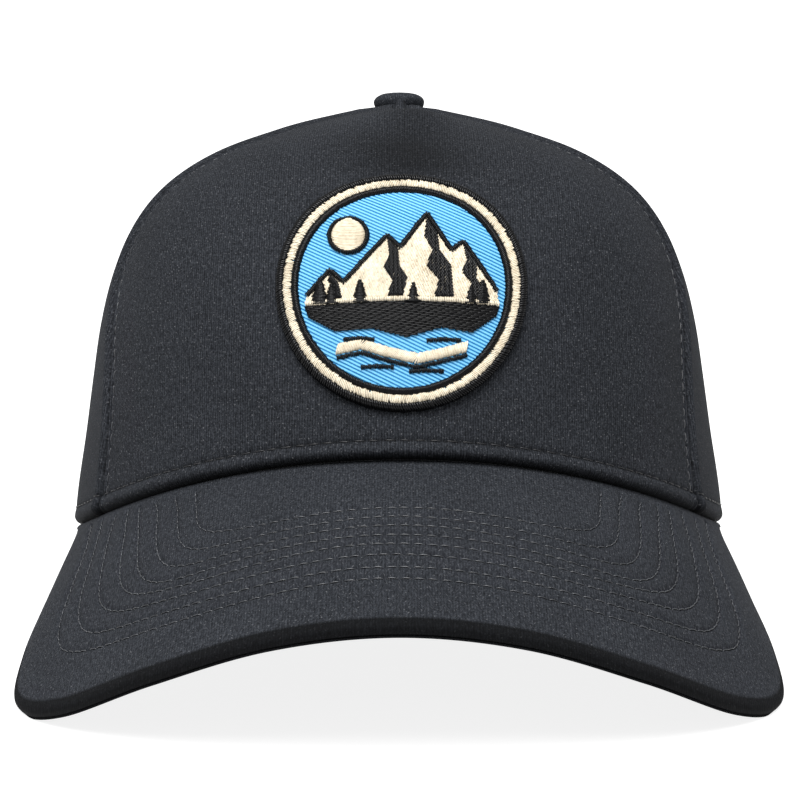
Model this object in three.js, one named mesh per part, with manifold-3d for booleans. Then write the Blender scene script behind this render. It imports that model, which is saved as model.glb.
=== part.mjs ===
// A mountain bike cap: five cloth panels, a curved peak, a covered button, a round badge
// and a strap across the opening at the back.
// Millimetres. The cap is drawn level, as worn: its front looks along -Y, +Z is up, and
// z = 0 is the hem beside the ears. At the end it is tilted back to lie on a flat surface.

import * as THREE from 'three';
import { mergeVertices } from 'three/addons/utils/BufferGeometryUtils.js';
import Module from 'manifold-3d';

const WALL = 2.0; // cloth with its stiffening
const PIECE_GAP = 0.3; // left between sewn pieces

// Level sections of the crown, from below the hem to the top, by how far each reaches to
// the side, the front and the back. Squareness 2 is an ellipse, and more is boxier. Seam is
// where the front panel ends, in degrees round from the front centre.
const CROWN = [
  { height: -8, side: 86.6, front: 103.5, back: 103.6, squareness: 2.1, seam: 53.5 },
  { height: 8, side: 85.2, front: 103.4, back: 102.9, squareness: 2.12, seam: 54.4 },
  { height: 24, side: 83.2, front: 102.6, back: 101.4, squareness: 2.15, seam: 55.1 },
  { height: 39, side: 81.2, front: 101.2, back: 98.8, squareness: 2.18, seam: 56 },
  { height: 53, side: 79.1, front: 98.8, back: 94.6, squareness: 2.2, seam: 58.2 },
  { height: 66, side: 75.9, front: 94.9, back: 88.4, squareness: 2.22, seam: 59.4 },
  { height: 78, side: 71.0, front: 89.2, back: 80.2, squareness: 2.22, seam: 58 },
  { height: 88, side: 63.4, front: 80.8, back: 69.6, squareness: 2.2, seam: 53.6 },
  { height: 96.5, side: 51.8, front: 68.0, back: 56.0, squareness: 2.13, seam: 47.5 },
  { height: 103, side: 36.2, front: 50.6, back: 39.5, squareness: 2.03, seam: 42.5 },
  { height: 108.1, side: 18.6, front: 28.4, back: 21.4, squareness: 2.05, seam: 41 },
  { height: 112.3, side: 3.4, front: 4.0, back: 3.6, squareness: 2, seam: 42 },
];
const TOP_PLACE = CROWN.length - 1; // the row at the edge of the hole under the button

// The hem is level beside the ears, arched up over the peak and a little lower behind.
const FRONT_ARCH = 18.9;
const FRONT_ARCH_SHARPNESS = 2.7;
const BACK_DROP = 5.4;

// The seam between a side panel and a back panel, in degrees round from the front centre.
const BACK_SEAM = 118;

// What the sewing does to the cloth: a rolled hem, a furrow with raised shoulders at each
// seam, and in front a dart that runs down from the button.
const HEM_ROLL = { width: 4.4, height: 0.7, pinch: 0.3 };
const SEAM_FURROW = { width: 1.3, depth: 0.9, shoulder: 0.45, shoulderAt: 3.4 };
const DART = { length: 26, width: 2.0, depth: 1.0, shoulder: 0.7 };
const BROW = { height: 2.2, width: 15, toAxis: 50, length: 14 }; // a swelling above the badge

const PANEL_COLUMNS = { front: 24, side: 12, back: 12 };
const EDGE_CROWDING = 0.7; // how far the columns gather towards the seams, from 0 to 1
const HEM_ROWS = [0, 1.4, 3, 4.4, 7]; // distances above the hem edge
const PANEL_ROWS = 14; // from the last hem row to the top

// The peak's outer edge at half its thickness, from the front centre round to the ear.
// Turn is the place on the hem that each row joins, in degrees from the front centre.
const PEAK_EDGE = [
  { turn: 0, side: 0, forward: 166.2, height: -15.3 },
  { turn: 12, side: 27, forward: 162.6, height: -18.4 },
  { turn: 24, side: 53, forward: 150.8, height: -26.9 },
  { turn: 35, side: 74.7, forward: 131.4, height: -36.0 },
  { turn: 44, side: 86.2, forward: 114, height: -37.0 },
  { turn: 52, side: 87.8, forward: 93, height: -29.3 },
  { turn: 60, side: 85.9, forward: 68, height: -19.4 },
  { turn: 66, side: 83.1, forward: 50, height: -10.6 },
  { turn: 70, side: 81.2, forward: 37, height: -3.5 },
];
const PEAK_THICKNESS = 3.4;
const PEAK_COLUMNS_PER_ROW = 3;
const PEAK_RIBS = 6; // points from the hem to the rounded edge
const PEAK_NOSE = [30, 62]; // degrees round the rounded edge
const PEAK_BULGE = 1.2; // how far the peak is domed between the hem and its edge
const PEAK_CLEARANCE = 0.5; // under the crown's hem

// The button, with a stem through the hole at the top and a washer inside the crown.
const BUTTON = { radius: 6.8, height: 3.4, stem: 2.4, washer: 5.2, washerThickness: 0.8 };

// The opening at the back, and the strap that crosses it inside the panels.
const ARCH = { halfWidth: 38, straight: 16, height: 50 };
const STRAP = { width: 18, thickness: 1.6, halfTurn: 30, aboveHem: 4 };

// The badge, a round patch sewn to the front panel. Across and up are measured on the cloth.
const BADGE_CENTRE = { side: 1, height: 59 };
const BADGE_RADIUS = 29.6;
const BADGE_SIDES = 48;
const BADGE_BORDER = { width: 2.1, height: 2.3 };
const BADGE_GROUND = { radius: 27.1, low: 0.3, high: 1.3 };
const BADGE_RING = { outer: 26.9, inner: 24.8 };
const RAISED = { low: 1.6, high: 2.3 }; // the stitched shapes on the ground
const SUN = { side: -12.4, up: 12.6, radius: 4.4 };
const PEAKS_LINE = [
  { side: -21.8, low: -3.4, high: -1.6 },
  { side: -16.6, low: -3.2, high: 3.6 },
  { side: -12.6, low: -3.0, high: 1.0 },
  { side: -3.4, low: -2.6, high: 12.2 },
  { side: -0.6, low: -2.6, high: 9.2 },
  { side: 5.8, low: -2.6, high: 17.8 },
  { side: 11.6, low: -3.0, high: 8.2 },
  { side: 14.2, low: -3.2, high: 10.0 },
  { side: 21.8, low: -3.6, high: -0.6 },
];
const HILLS_LINE = [
  { side: -22.6, low: -6.8, high: -4.6 },
  { side: -15.0, low: -11.2, high: -4.2 },
  { side: -7.0, low: -10.4, high: -4.0 },
  { side: 1.0, low: -12.4, high: -3.8 },
  { side: 9.0, low: -10.2, high: -4.0 },
  { side: 16.0, low: -11.4, high: -4.4 },
  { side: 22.6, low: -7.0, high: -5.0 },
];
const TRAIL_LINE = [
  { side: -14.6, low: -16.6, high: -14.6 },
  { side: -9.4, low: -15.2, high: -12.8 },
  { side: -3.2, low: -17.4, high: -14.4 },
  { side: 3.4, low: -18.8, high: -16.0 },
  { side: 9.6, low: -17.2, high: -14.8 },
  { side: 14.8, low: -15.4, high: -13.8 },
];

// How the cap lies: tilted back until the corners of the peak and the hem behind touch the
// surface, whose height is given along the tilted cap's own upright.
const REST_TILT = 9.4;
const REST_SURFACE = -18.45;

const COLOURS = {
  cloth: { color: 0x2b2c31, roughness: 0.92, metalness: 0 },
  strap: { color: 0x232428, roughness: 0.85, metalness: 0 },
  black: { color: 0x111114, roughness: 0.6, metalness: 0 },
  cream: { color: 0xe6dcc6, roughness: 0.65, metalness: 0 },
  blue: { color: 0x2f86c8, roughness: 0.7, metalness: 0 },
};

const radians = THREE.MathUtils.degToRad;
const mix = THREE.MathUtils.lerp;
const wasm = await Module();
wasm.setup();

// The smooth curve through one column of a table, at a place counted in rows.
function columnAt(table, column, place) {
  const row = Math.min(Math.max(Math.floor(place), 0), table.length - 2);
  const value = (index) => {
    if (index < 0) return 2 * table[0][column] - table[1][column];
    if (index >= table.length) return 2 * table.at(-1)[column] - table.at(-2)[column];
    return table[index][column];
  };
  const [before, start, end, after] = [row - 1, row, row + 1, row + 2].map(value);
  const t = place - row;
  const bend = 2 * before - 5 * start + 4 * end - after;
  const twist = 3 * (start - end) + after - before;
  return start + 0.5 * t * (end - before + t * (bend + t * twist));
}

// The place where a rising function of place crosses zero.
function findPlace(difference, low, high) {
  for (let step = 0; step < 40; step++) {
    const middle = (low + high) / 2;
    if (difference(middle) < 0) low = middle;
    else high = middle;
  }
  return (low + high) / 2;
}

// Distance from the crown's axis, at a turn in radians and a place in the crown's table.
function crownRadius(turn, place) {
  const reach = columnAt(CROWN, Math.cos(turn) > 0 ? 'front' : 'back', place);
  const side = columnAt(CROWN, 'side', place);
  const power = columnAt(CROWN, 'squareness', place);
  const across = Math.abs(Math.sin(turn) / side) ** power;
  const along = Math.abs(Math.cos(turn) / reach) ** power;
  return (across + along) ** (-1 / power);
}

function crownPoint(turn, place) {
  const radius = crownRadius(turn, place);
  const height = columnAt(CROWN, 'height', place);
  return new THREE.Vector3(radius * Math.sin(turn), -radius * Math.cos(turn), height);
}

function crownNormal(turn, place) {
  const step = 1e-3;
  const round = crownPoint(turn + step, place).sub(crownPoint(turn - step, place));
  const up = crownPoint(turn, place + step).sub(crownPoint(turn, place - step));
  return round.cross(up).normalize();
}

function hemHeight(turn) {
  const facing = Math.cos(turn);
  if (facing > 0) return FRONT_ARCH * facing ** FRONT_ARCH_SHARPNESS;
  return -BACK_DROP * facing ** 2;
}

const frontSeam = (place) => radians(columnAt(CROWN, 'seam', place));
const backSeam = () => radians(BACK_SEAM);
const backCentre = () => Math.PI;

// How far the cloth stands out of the smooth crown, from its distances to the hem, the
// nearest seam, the front centre line and the crown's axis. Under the button it lies smooth.
function sewnRelief(toHem, toSeam, toCentre, toAxis, inFront) {
  const hump = (distance, width) => Math.exp(-((distance / width) ** 2));
  const rolled = Math.sin(Math.PI * Math.min(toHem / HEM_ROLL.width, 1));
  const pinched = hump(toHem - HEM_ROLL.width, 1.2);
  const furrow = SEAM_FURROW.depth * hump(toSeam, SEAM_FURROW.width);
  const ridge = SEAM_FURROW.shoulder * hump(toSeam - SEAM_FURROW.shoulderAt, SEAM_FURROW.width);
  const dartFade = inFront ? Math.max(0, 1 - toAxis / DART.length) : 0;
  const groove = DART.depth * hump(toCentre, DART.width);
  const shoulder = DART.shoulder * hump(toCentre - 2 * DART.width, 1.5 * DART.width);
  const brow = inFront ? BROW.height * hump(toCentre, BROW.width) * hump(toAxis - BROW.toAxis, BROW.length) : 0;
  const clearOfButton = THREE.MathUtils.clamp((toAxis - BUTTON.radius) / BUTTON.radius, 0, 1);
  const sewn = ridge - furrow + dartFade * (shoulder - groove) + brow;
  return HEM_ROLL.height * rolled - HEM_ROLL.pinch * pinched + clearOfButton * sewn;
}

// A closed body through a row of sections with equally many points. Each section runs out
// along one face and back along the other, so an end is closed by a strip of quads.
function loft(sections, { ring = false } = {}) {
  const count = sections[0].length;
  const positions = sections.flat().flatMap((point) => [point.x, point.y, point.z]);
  const index = [];
  const quad = (a, b, c, d) => index.push(a, b, c, a, c, d);
  const steps = ring ? sections.length : sections.length - 1;
  for (let s = 0; s < steps; s++) {
    const here = s * count;
    const next = ((s + 1) % sections.length) * count;
    for (let k = 0; k < count; k++) {
      const after = (k + 1) % count;
      quad(here + k, next + k, next + after, here + after);
    }
  }
  if (!ring) {
    const last = (sections.length - 1) * count;
    for (let k = 0; k < count / 2 - 1; k++) {
      quad(k, k + 1, count - 2 - k, count - 1 - k);
      quad(last + count - 1 - k, last + count - 2 - k, last + k + 1, last + k);
    }
  }
  const geometry = new THREE.BufferGeometry();
  geometry.setAttribute('position', new THREE.Float32BufferAttribute(positions, 3));
  geometry.setIndex(index);
  return facingOut(geometry);
}

// Turns the faces round if the geometry encloses a negative volume.
function facingOut(geometry) {
  const corner = [new THREE.Vector3(), new THREE.Vector3(), new THREE.Vector3()];
  const { array } = geometry.index;
  let volume = 0;
  for (let i = 0; i < array.length; i += 3) {
    corner.forEach((point, k) => point.fromBufferAttribute(geometry.attributes.position, array[i + k]));
    volume += corner[0].dot(corner[1].clone().cross(corner[2]));
  }
  if (volume < 0) {
    for (let i = 0; i < array.length; i += 3) [array[i + 1], array[i + 2]] = [array[i + 2], array[i + 1]];
  }
  return geometry;
}

// A closed geometry as a manifold-3d solid, and back.
function solidOf(geometry) {
  const bare = new THREE.BufferGeometry();
  bare.setAttribute('position', geometry.attributes.position);
  bare.setIndex(geometry.index);
  const merged = mergeVertices(bare, 1e-4);
  const vertProperties = merged.attributes.position.array;
  return new wasm.Manifold(new wasm.Mesh({ numProp: 3, vertProperties, triVerts: merged.index.array }));
}

function geometryOf(solid) {
  const { vertProperties, triVerts } = solid.getMesh();
  const geometry = new THREE.BufferGeometry();
  geometry.setAttribute('position', new THREE.BufferAttribute(vertProperties, 3));
  geometry.setIndex(new THREE.BufferAttribute(triVerts, 1));
  return geometry;
}

// The places up the crown of one column of a panel: close together over the rolled hem, and
// evenly spaced above it. The height between rows turns into places by the local rise.
function panelPlaces(turnAt) {
  const aboveHem = (place) => columnAt(CROWN, 'height', place) - hemHeight(turnAt(place));
  const start = findPlace(aboveHem, 0, TOP_PLACE);
  const rise = columnAt(CROWN, 'height', start + 0.5) - columnAt(CROWN, 'height', start - 0.5);
  const places = HEM_ROWS.map((distance) => start + distance / rise);
  const above = places.at(-1);
  for (let row = 1; row <= PANEL_ROWS; row++) places.push(mix(above, TOP_PLACE, row / PANEL_ROWS));
  return { places, toHem: (place) => (place - start) * rise };
}

// A crown panel between two seams, each a function of place that gives a turn in radians.
function panel(leftSeam, rightSeam, columns) {
  const sections = [];
  for (let column = 0; column <= columns; column++) {
    const even = column / columns;
    const share = mix(even, (1 - Math.cos(Math.PI * even)) / 2, EDGE_CROWDING);
    const turnAt = (place) => {
      const edge = PIECE_GAP / 2 / crownRadius(leftSeam(place), place);
      return mix(leftSeam(place) + edge, rightSeam(place) - edge, share);
    };
    const { places, toHem } = panelPlaces(turnAt);
    const [outer, inner] = [[], []];
    for (const place of places) {
      const turn = turnAt(place);
      const radius = crownRadius(turn, place);
      const point = crownPoint(turn, place);
      const normal = crownNormal(turn, place);
      const toSeam = radius * Math.min(turn - leftSeam(place), rightSeam(place) - turn);
      const relief = sewnRelief(toHem(place), toSeam, Math.abs(point.x), radius, point.y < 0);
      outer.push(point.clone().addScaledVector(normal, relief));
      inner.push(point.addScaledVector(normal, -WALL));
    }
    sections.push([...outer, ...inner.reverse()]);
  }
  return loft(sections);
}

// The prism that cuts the opening through the back panels.
function archCutter() {
  const outline = new THREE.Shape();
  const below = -60;
  outline.moveTo(-ARCH.halfWidth, below);
  outline.lineTo(ARCH.halfWidth, below);
  outline.lineTo(ARCH.halfWidth, ARCH.straight);
  outline.absellipse(0, ARCH.straight, ARCH.halfWidth, ARCH.height - ARCH.straight, 0, Math.PI, false);
  outline.closePath();
  const depth = 80;
  const prism = new THREE.ExtrudeGeometry(outline, { depth, bevelEnabled: false, curveSegments: 16 });
  prism.rotateX(Math.PI / 2);
  prism.translate(0, 50 + depth, -BACK_DROP);
  return solidOf(flat(prism));
}

// A geometry with an index and nothing but positions.
function flat(geometry) {
  geometry.deleteAttribute('normal');
  geometry.deleteAttribute('uv');
  return mergeVertices(geometry, 1e-4);
}

// Everything below the surface that the cap lies on, in the level cap's own frame.
function surfaceCutter() {
  const size = 400;
  const block = new THREE.BoxGeometry(size, size, size);
  block.translate(0, 0, REST_SURFACE - size / 2);
  block.rotateX(radians(REST_TILT));
  return solidOf(flat(block));
}

// Lifts every point that would be under the surface up to it, along the upright of the cap
// as it lies, so that the peak's corners are a little flattened.
function pressedFlat(geometry) {
  const upright = new THREE.Vector3(0, 0, 1).applyAxisAngle(new THREE.Vector3(1, 0, 0), radians(REST_TILT));
  const { position } = geometry.attributes;
  const point = new THREE.Vector3();
  for (let i = 0; i < position.count; i++) {
    point.fromBufferAttribute(position, i);
    point.addScaledVector(upright, Math.max(0, REST_SURFACE - point.dot(upright)));
    position.setXYZ(i, point.x, point.y, point.z);
  }
  return geometry;
}

// One section of the peak, from the tab tucked under the crown's wall to the rounded edge.
// Each rib is a point of the middle surface with the top and the underside above and below.
function peakSection(place) {
  const half = PEAK_THICKNESS / 2;
  const turn = radians(columnAt(PEAK_EDGE, 'turn', place));
  const hemPlace = findPlace((p) => columnAt(CROWN, 'height', p) - hemHeight(turn), 0, TOP_PLACE);
  const hem = crownPoint(turn, hemPlace);
  hem.z -= PEAK_CLEARANCE + half;
  const [side, forward, height] = ['side', 'forward', 'height'].map((c) => columnAt(PEAK_EDGE, c, place));
  const outward = new THREE.Vector3(side, -forward, height).sub(hem);
  const length = outward.length();
  outward.normalize();
  const level = new THREE.Vector3(0, 0, 1);
  const round = new THREE.Vector3(Math.cos(turn), Math.sin(turn), 0);
  const up = outward.clone().cross(round).normalize();
  const [top, bottom] = [[], []];
  const rib = (distance, rise, thickness, upward) => {
    const middle = hem.clone().addScaledVector(outward, distance).addScaledVector(upward, rise);
    top.push(middle.clone().addScaledVector(upward, thickness));
    bottom.push(middle.addScaledVector(upward, -thickness));
  };
  const inward = new THREE.Vector3(-Math.sin(turn), Math.cos(turn), 0);
  const tab = hem.clone().addScaledVector(inward, WALL);
  top.push(tab.clone().addScaledVector(level, half));
  bottom.push(tab.addScaledVector(level, -half));
  for (let k = 0; k < PEAK_RIBS; k++) {
    const share = k / (PEAK_RIBS - 1);
    const bulge = PEAK_BULGE * Math.sin(Math.PI * share) * Math.min(1, length / 60);
    rib(share * (length - half), bulge, half, k ? up : level);
  }
  for (const angle of PEAK_NOSE.map(radians)) {
    rib(length - half + half * Math.sin(angle), 0, half * Math.cos(angle), up);
  }
  return [...top, ...bottom.reverse()];
}

// The right half is the left half mirrored, section by section.
function peak() {
  const columns = (PEAK_EDGE.length - 1) * PEAK_COLUMNS_PER_ROW;
  const sections = [];
  for (let column = -columns; column <= columns; column++) {
    const section = peakSection(Math.abs(column) / PEAK_COLUMNS_PER_ROW);
    if (column < 0) section.forEach((point) => point.setX(-point.x));
    sections.push(section);
  }
  return loft(sections);
}

function topButton() {
  const { radius, height, stem, washer, washerThickness } = BUTTON;
  const hole = CROWN.at(-1);
  const slope = (hole.height - CROWN.at(-2).height) / (CROWN.at(-2).side - hole.side);
  const gentlest = (hole.height - CROWN.at(-2).height) / (CROWN.at(-2).front - hole.front);
  const seat = hole.height + PIECE_GAP;
  const inside = hole.height - WALL - PIECE_GAP;
  const washerDrop = slope * washer;
  const profile = [
    [0, inside - washerThickness],
    [washer, inside - washerThickness - washerDrop],
    [washer, inside - washerDrop],
    [stem, inside - slope * stem],
    [stem, seat],
    [hole.front + 0.4, seat],
    [radius - 0.7, seat - gentlest * (radius - hole.front)],
    [radius, seat - 0.2],
    [radius - 0.1, seat + 0.35 * height],
    [radius - 0.8, seat + 0.66 * height],
    [0.62 * radius, seat + 0.9 * height],
    [0.3 * radius, seat + 0.98 * height],
    [0, seat + height],
  ];
  const points = profile.map(([across, up]) => new THREE.Vector2(across, up));
  const geometry = new THREE.LatheGeometry(points, 24);
  geometry.rotateX(Math.PI / 2);
  return geometryOf(solidOf(facingOut(flat(geometry))));
}

function strap() {
  const steps = 14;
  const sections = [];
  for (let step = 0; step <= steps; step++) {
    const turn = Math.PI + radians(mix(-STRAP.halfTurn, STRAP.halfTurn, step / steps));
    const [outer, inner] = [[], []];
    for (const share of [0, 0.5, 1]) {
      const height = hemHeight(turn) + STRAP.aboveHem + share * STRAP.width;
      const place = findPlace((p) => columnAt(CROWN, 'height', p) - height, 0, TOP_PLACE);
      const normal = crownNormal(turn, place);
      outer.push(crownPoint(turn, place).addScaledVector(normal, -WALL - PIECE_GAP));
      inner.push(outer.at(-1).clone().addScaledVector(normal, -STRAP.thickness));
    }
    sections.push([...outer, ...inner.reverse()]);
  }
  return loft(sections);
}

// Length along the front centre line from the badge's centre, against place in the crown.
const badgePlace = findPlace((p) => columnAt(CROWN, 'height', p) - BADGE_CENTRE.height, 0, TOP_PLACE);
function placeUpTheFront(length) {
  const steps = 24;
  let place = badgePlace;
  for (let step = 0; step < steps; step++) {
    const speed = crownPoint(0, place + 0.01).distanceTo(crownPoint(0, place - 0.01)) / 0.02;
    place += length / steps / speed;
  }
  return place;
}

// A point of the badge: across and up on the cloth, and its height above the panel.
function badgePoint(across, up, above) {
  const place = placeUpTheFront(up);
  const turn = (BADGE_CENTRE.side + across) / columnAt(CROWN, 'front', place);
  return crownPoint(turn, place).addScaledVector(crownNormal(turn, place), above);
}

// A ring of the badge whose cross-section is a list of radius and height above the panel.
function badgeRound(section) {
  const sections = [];
  for (let side = 0; side < BADGE_SIDES; side++) {
    const angle = (side / BADGE_SIDES) * 2 * Math.PI;
    const [across, up] = [Math.cos(angle), Math.sin(angle)];
    sections.push(section.map(([radius, above]) => badgePoint(radius * across, radius * up, above)));
  }
  return loft(sections, { ring: true });
}

function badgeBorder() {
  const { width, height } = BADGE_BORDER;
  return badgeRound([
    [BADGE_RADIUS - width, PIECE_GAP],
    [BADGE_RADIUS - 0.1 * width, PIECE_GAP],
    [BADGE_RADIUS, 0.4 * height],
    [BADGE_RADIUS - 0.25 * width, 0.85 * height],
    [BADGE_RADIUS - 0.5 * width, height],
    [BADGE_RADIUS - 0.85 * width, 0.85 * height],
  ]);
}

function badgeRing() {
  const { inner, outer } = BADGE_RING;
  return badgeRound([
    [inner, RAISED.low],
    [outer, RAISED.low],
    [outer, RAISED.high - 0.2],
    [(inner + outer) / 2, RAISED.high],
    [inner, RAISED.high - 0.2],
  ]);
}

// A raised shape of the badge, from rows that run up it, each with a low and a high end.
function badgeShape(rows, { low, high }, ribs) {
  const sections = rows.map((row) => {
    const ups = Array.from({ length: ribs + 1 }, (_, k) => mix(row.low, row.high, k / ribs));
    const front = ups.map((up) => badgePoint(row.side, up, high));
    const back = ups.map((up) => badgePoint(row.side, up, low));
    return [...front, ...back.reverse()];
  });
  return loft(sections);
}

function badgeDisc({ side, up, radius }, thickness, columns, ribs) {
  const rows = [];
  for (let column = 0; column <= columns; column++) {
    const angle = radians(mix(172, 8, column / columns));
    const reach = radius * Math.sin(angle);
    rows.push({ side: side + radius * Math.cos(angle), low: up - reach, high: up + reach });
  }
  return badgeShape(rows, thickness, ribs);
}

function badgeGround() {
  return badgeDisc({ side: 0, up: 0, radius: BADGE_GROUND.radius }, BADGE_GROUND, 20, 8);
}

// A raised shape from an outline, with a row added halfway between each two of its rows.
function badgeOutline(rows, ribs) {
  const halfway = (a, b) => ({
    side: mix(a.side, b.side, 0.5),
    low: mix(a.low, b.low, 0.5),
    high: mix(a.high, b.high, 0.5),
  });
  const finer = rows.flatMap((row, k) => (k ? [halfway(rows[k - 1], row), row] : [row]));
  return badgeShape(finer, RAISED, ribs);
}

const cap = new THREE.Group();

function add(name, geometry, colour) {
  const mesh = new THREE.Mesh(geometry, new THREE.MeshStandardMaterial(COLOURS[colour]));
  mesh.name = name;
  cap.add(mesh);
}

const mirrored = (seam) => (place) => -seam(place);
const arch = archCutter();
const surface = surfaceCutter();

function backPanel(leftSeam, rightSeam) {
  const whole = solidOf(panel(leftSeam, rightSeam, PANEL_COLUMNS.back));
  return geometryOf(whole.subtract(arch).subtract(surface));
}

add('front_panel', panel(mirrored(frontSeam), frontSeam, PANEL_COLUMNS.front), 'cloth');
add('side_panel_left', panel(frontSeam, backSeam, PANEL_COLUMNS.side), 'cloth');
add('side_panel_right', panel(mirrored(backSeam), mirrored(frontSeam), PANEL_COLUMNS.side), 'cloth');
add('back_panel_left', backPanel(backSeam, backCentre), 'cloth');
add('back_panel_right', backPanel(mirrored(backCentre), mirrored(backSeam)), 'cloth');
add('peak', pressedFlat(peak()), 'cloth');
add('top_button', topButton(), 'cloth');
add('back_strap', strap(), 'strap');
add('badge_ground', badgeGround(), 'blue');
add('badge_border', badgeBorder(), 'black');
add('badge_ring', badgeRing(), 'cream');
add('badge_sun', badgeDisc(SUN, RAISED, 8, 2), 'cream');
add('badge_peaks', badgeOutline(PEAKS_LINE, 4), 'cream');
add('badge_hills', badgeOutline(HILLS_LINE, 2), 'black');
add('badge_trail', badgeOutline(TRAIL_LINE, 1), 'cream');

// Laid down: tilted back, then moved so that the origin is under the middle of its box.
cap.rotation.x = -radians(REST_TILT);
cap.updateMatrixWorld(true);
const box = new THREE.Box3().setFromObject(cap, true);
cap.position.set(-(box.min.x + box.max.x) / 2, -(box.min.y + box.max.y) / 2, -REST_SURFACE);

export default cap;
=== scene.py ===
# A mountain bike cap in charcoal cloth, with a round stitched badge, dressed for its pictures.
# The cap is drawn level, in millimetres: its front looks along -Y, +Z is up and z = 0 is the
# hem beside the ears. at_rest() then tilts it back to lie on the floor, in metres.
import math

import bpy
import numpy as np
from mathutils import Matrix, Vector, kdtree


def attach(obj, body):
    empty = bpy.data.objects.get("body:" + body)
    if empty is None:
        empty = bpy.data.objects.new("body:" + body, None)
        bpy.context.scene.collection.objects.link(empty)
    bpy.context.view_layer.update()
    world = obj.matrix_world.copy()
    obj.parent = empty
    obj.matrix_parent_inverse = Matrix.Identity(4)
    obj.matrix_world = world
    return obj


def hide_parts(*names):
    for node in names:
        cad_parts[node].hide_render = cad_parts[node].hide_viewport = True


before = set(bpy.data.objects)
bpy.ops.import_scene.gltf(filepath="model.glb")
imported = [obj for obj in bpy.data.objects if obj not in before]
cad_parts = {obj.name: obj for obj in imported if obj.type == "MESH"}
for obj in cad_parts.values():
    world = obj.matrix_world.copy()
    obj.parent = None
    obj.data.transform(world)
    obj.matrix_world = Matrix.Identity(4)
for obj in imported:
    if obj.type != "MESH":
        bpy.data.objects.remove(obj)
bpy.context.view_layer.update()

cos, sin, pi = np.cos, np.sin, np.pi

# Level sections of the crown from below the hem to the top: height, reach to the side, front
# and back, squareness, and where the front panel ends, in degrees round from the front.
CROWN = np.array([
    [-8, 87.0, 103.5, 103.6, 2.1, 53.0],
    [8, 85.6, 103.4, 102.9, 2.12, 52.8],
    [24, 83.2, 102.6, 101.4, 2.15, 53.1],
    [39, 81.2, 101.2, 98.8, 2.18, 54.4],
    [53, 79.1, 98.8, 94.6, 2.2, 57.2],
    [66, 75.9, 94.9, 88.4, 2.22, 59.4],
    [78, 71.0, 89.2, 80.2, 2.22, 58],
    [88, 63.4, 80.8, 69.6, 2.2, 53.6],
    [96.5, 51.8, 68.0, 56.0, 2.13, 47.5],
    [103, 36.2, 50.6, 39.5, 2.03, 42.5],
    [108.1, 18.6, 28.4, 21.4, 2.05, 41],
    [112.3, 3.4, 4.0, 3.6, 2, 42],
])
HEIGHT, SIDE, FRONT, BACK, SQUARENESS, SEAM = range(6)
TOP_PLACE = len(CROWN) - 1  # places on the crown are counted in rows of this table
BACK_HEM_PLACE = 0.3  # about where the hem behind is
WALL = 2.0
SEAM_GAP, SEAM_LAP = 0.5, 0.1  # between two sewn panels outside, and how they overlap inside
SEAM_FLARE = 2.4  # degrees that the front seam runs sideways at the hem
BACK_SEAM = math.radians(118)
FRONT_ARCH, FRONT_ARCH_SHARPNESS, BACK_DROP = 18.9, 2.7, 5.4

# How the cap lies: tilted back, on a floor at this height, and then moved to stand on z = 0.
REST_TILT = math.radians(9.4)
REST_SURFACE = -18.45
REST_SHIFT = np.array([0.0, 31.474, 18.45])

# The opening at the back.
ARCH_HALF_WIDTH, ARCH_SHOULDER, ARCH_RISE = 38.0, 10.6, 34.0
ARCH_TOP = ARCH_SHOULDER + ARCH_RISE

# The sewn relief of the crown.
HEM_STITCH = 4.4  # from the hem edge to its stitches
SEAM_STITCH = 2.5  # from a seam to the stitches beside it
SIDE_STITCH = 5.2  # from the front seam to the stitches on the side panel
HEM_ROLL, HEM_PINCH = 0.85, 0.12  # how far the hem swells, and sinks at its stitches
HEM_ROUNDING = 2.1  # of the hem's lower edge
SEAM_SHADE, HEM_SHADE, STITCH_SHADE = 0.95, 0.85, 0.55  # how dark the painted shade is in the seams' furrows, under the hem's edge and along the hem's stitches
SEAM_LINE, HEM_LINE, STITCH_LINE = 0.4, 1.2, 0.4  # and how wide
HOLLOW_SHADE, BROW_SHADE = 0.37, 0.22  # how dark the painted shade is in the hollow under the button, narrow and wide
TOP_SETTLES = 0.9  # how far the cloth round the button gives
THINNEST = 0.3  # what the relief leaves of the wall
WAVE_HEIGHT, PEAK_WAVE_HEIGHT = 0.3, 0.22
WAVE_SEEDS = {"front": 3, "side": 5, "back": 8}
BUTTON_RADIUS, BUTTON_SIDE = 6.8, 0.5
BADGE_SIDE, BADGE_HEIGHT = 1.0, 59.0

# Bumps along a line, raised or sunk: height, distance from the line, width.
FURROW = [(-0.3, 0, 0.9), (-1.4, 0, 0.35)]
STITCHED_SEAM = [(0.3, 1.3, 0.7), (-0.2, SEAM_STITCH, 0.6), (0.12, 4.2, 1.2)]
PLAIN_SEAM = [(1.2, 2.3, 1.6), (-0.2, SIDE_STITCH, 0.7)]
DART_SIDE, DART = 1.2, [(-0.6, 0, 1.4), (0.35, 3.4, 2.2)]
DART_LENGTH = 30
PEAK_CHANNEL = [(-0.55, 0, 0.55), (0.14, 2.4, 1.5)]

# Swellings of the front panel: height, place to the side and width, place outwards from the
# crown's axis and width.
BROW = [(2.2, 0, 15, 50, 14), (1.3, 5, 8, 49, 8), (-1.4, 5, 8, 67, 10)]
BUTTON_FOLDS = [
    (0.7, 1.2, 4.2, 8.0, 4.2), (1.9, 0.9, 1.0, 9.0, 1.9), (1.0, 5.6, 0.9, 12.5, 2.4),
    (-1.5, 2.7, 0.6, 12.0, 4.5), (-1.0, -0.9, 0.5, 10.5, 2.6),
]

LIP_HEIGHT, LIP_WIDTH = 1.1, 26  # of the swelling above the front of the hem
RIPPLE_HEIGHT, RIPPLE_TURNS = 0.22, 3.1  # of the fine ripples in front of the button

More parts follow.
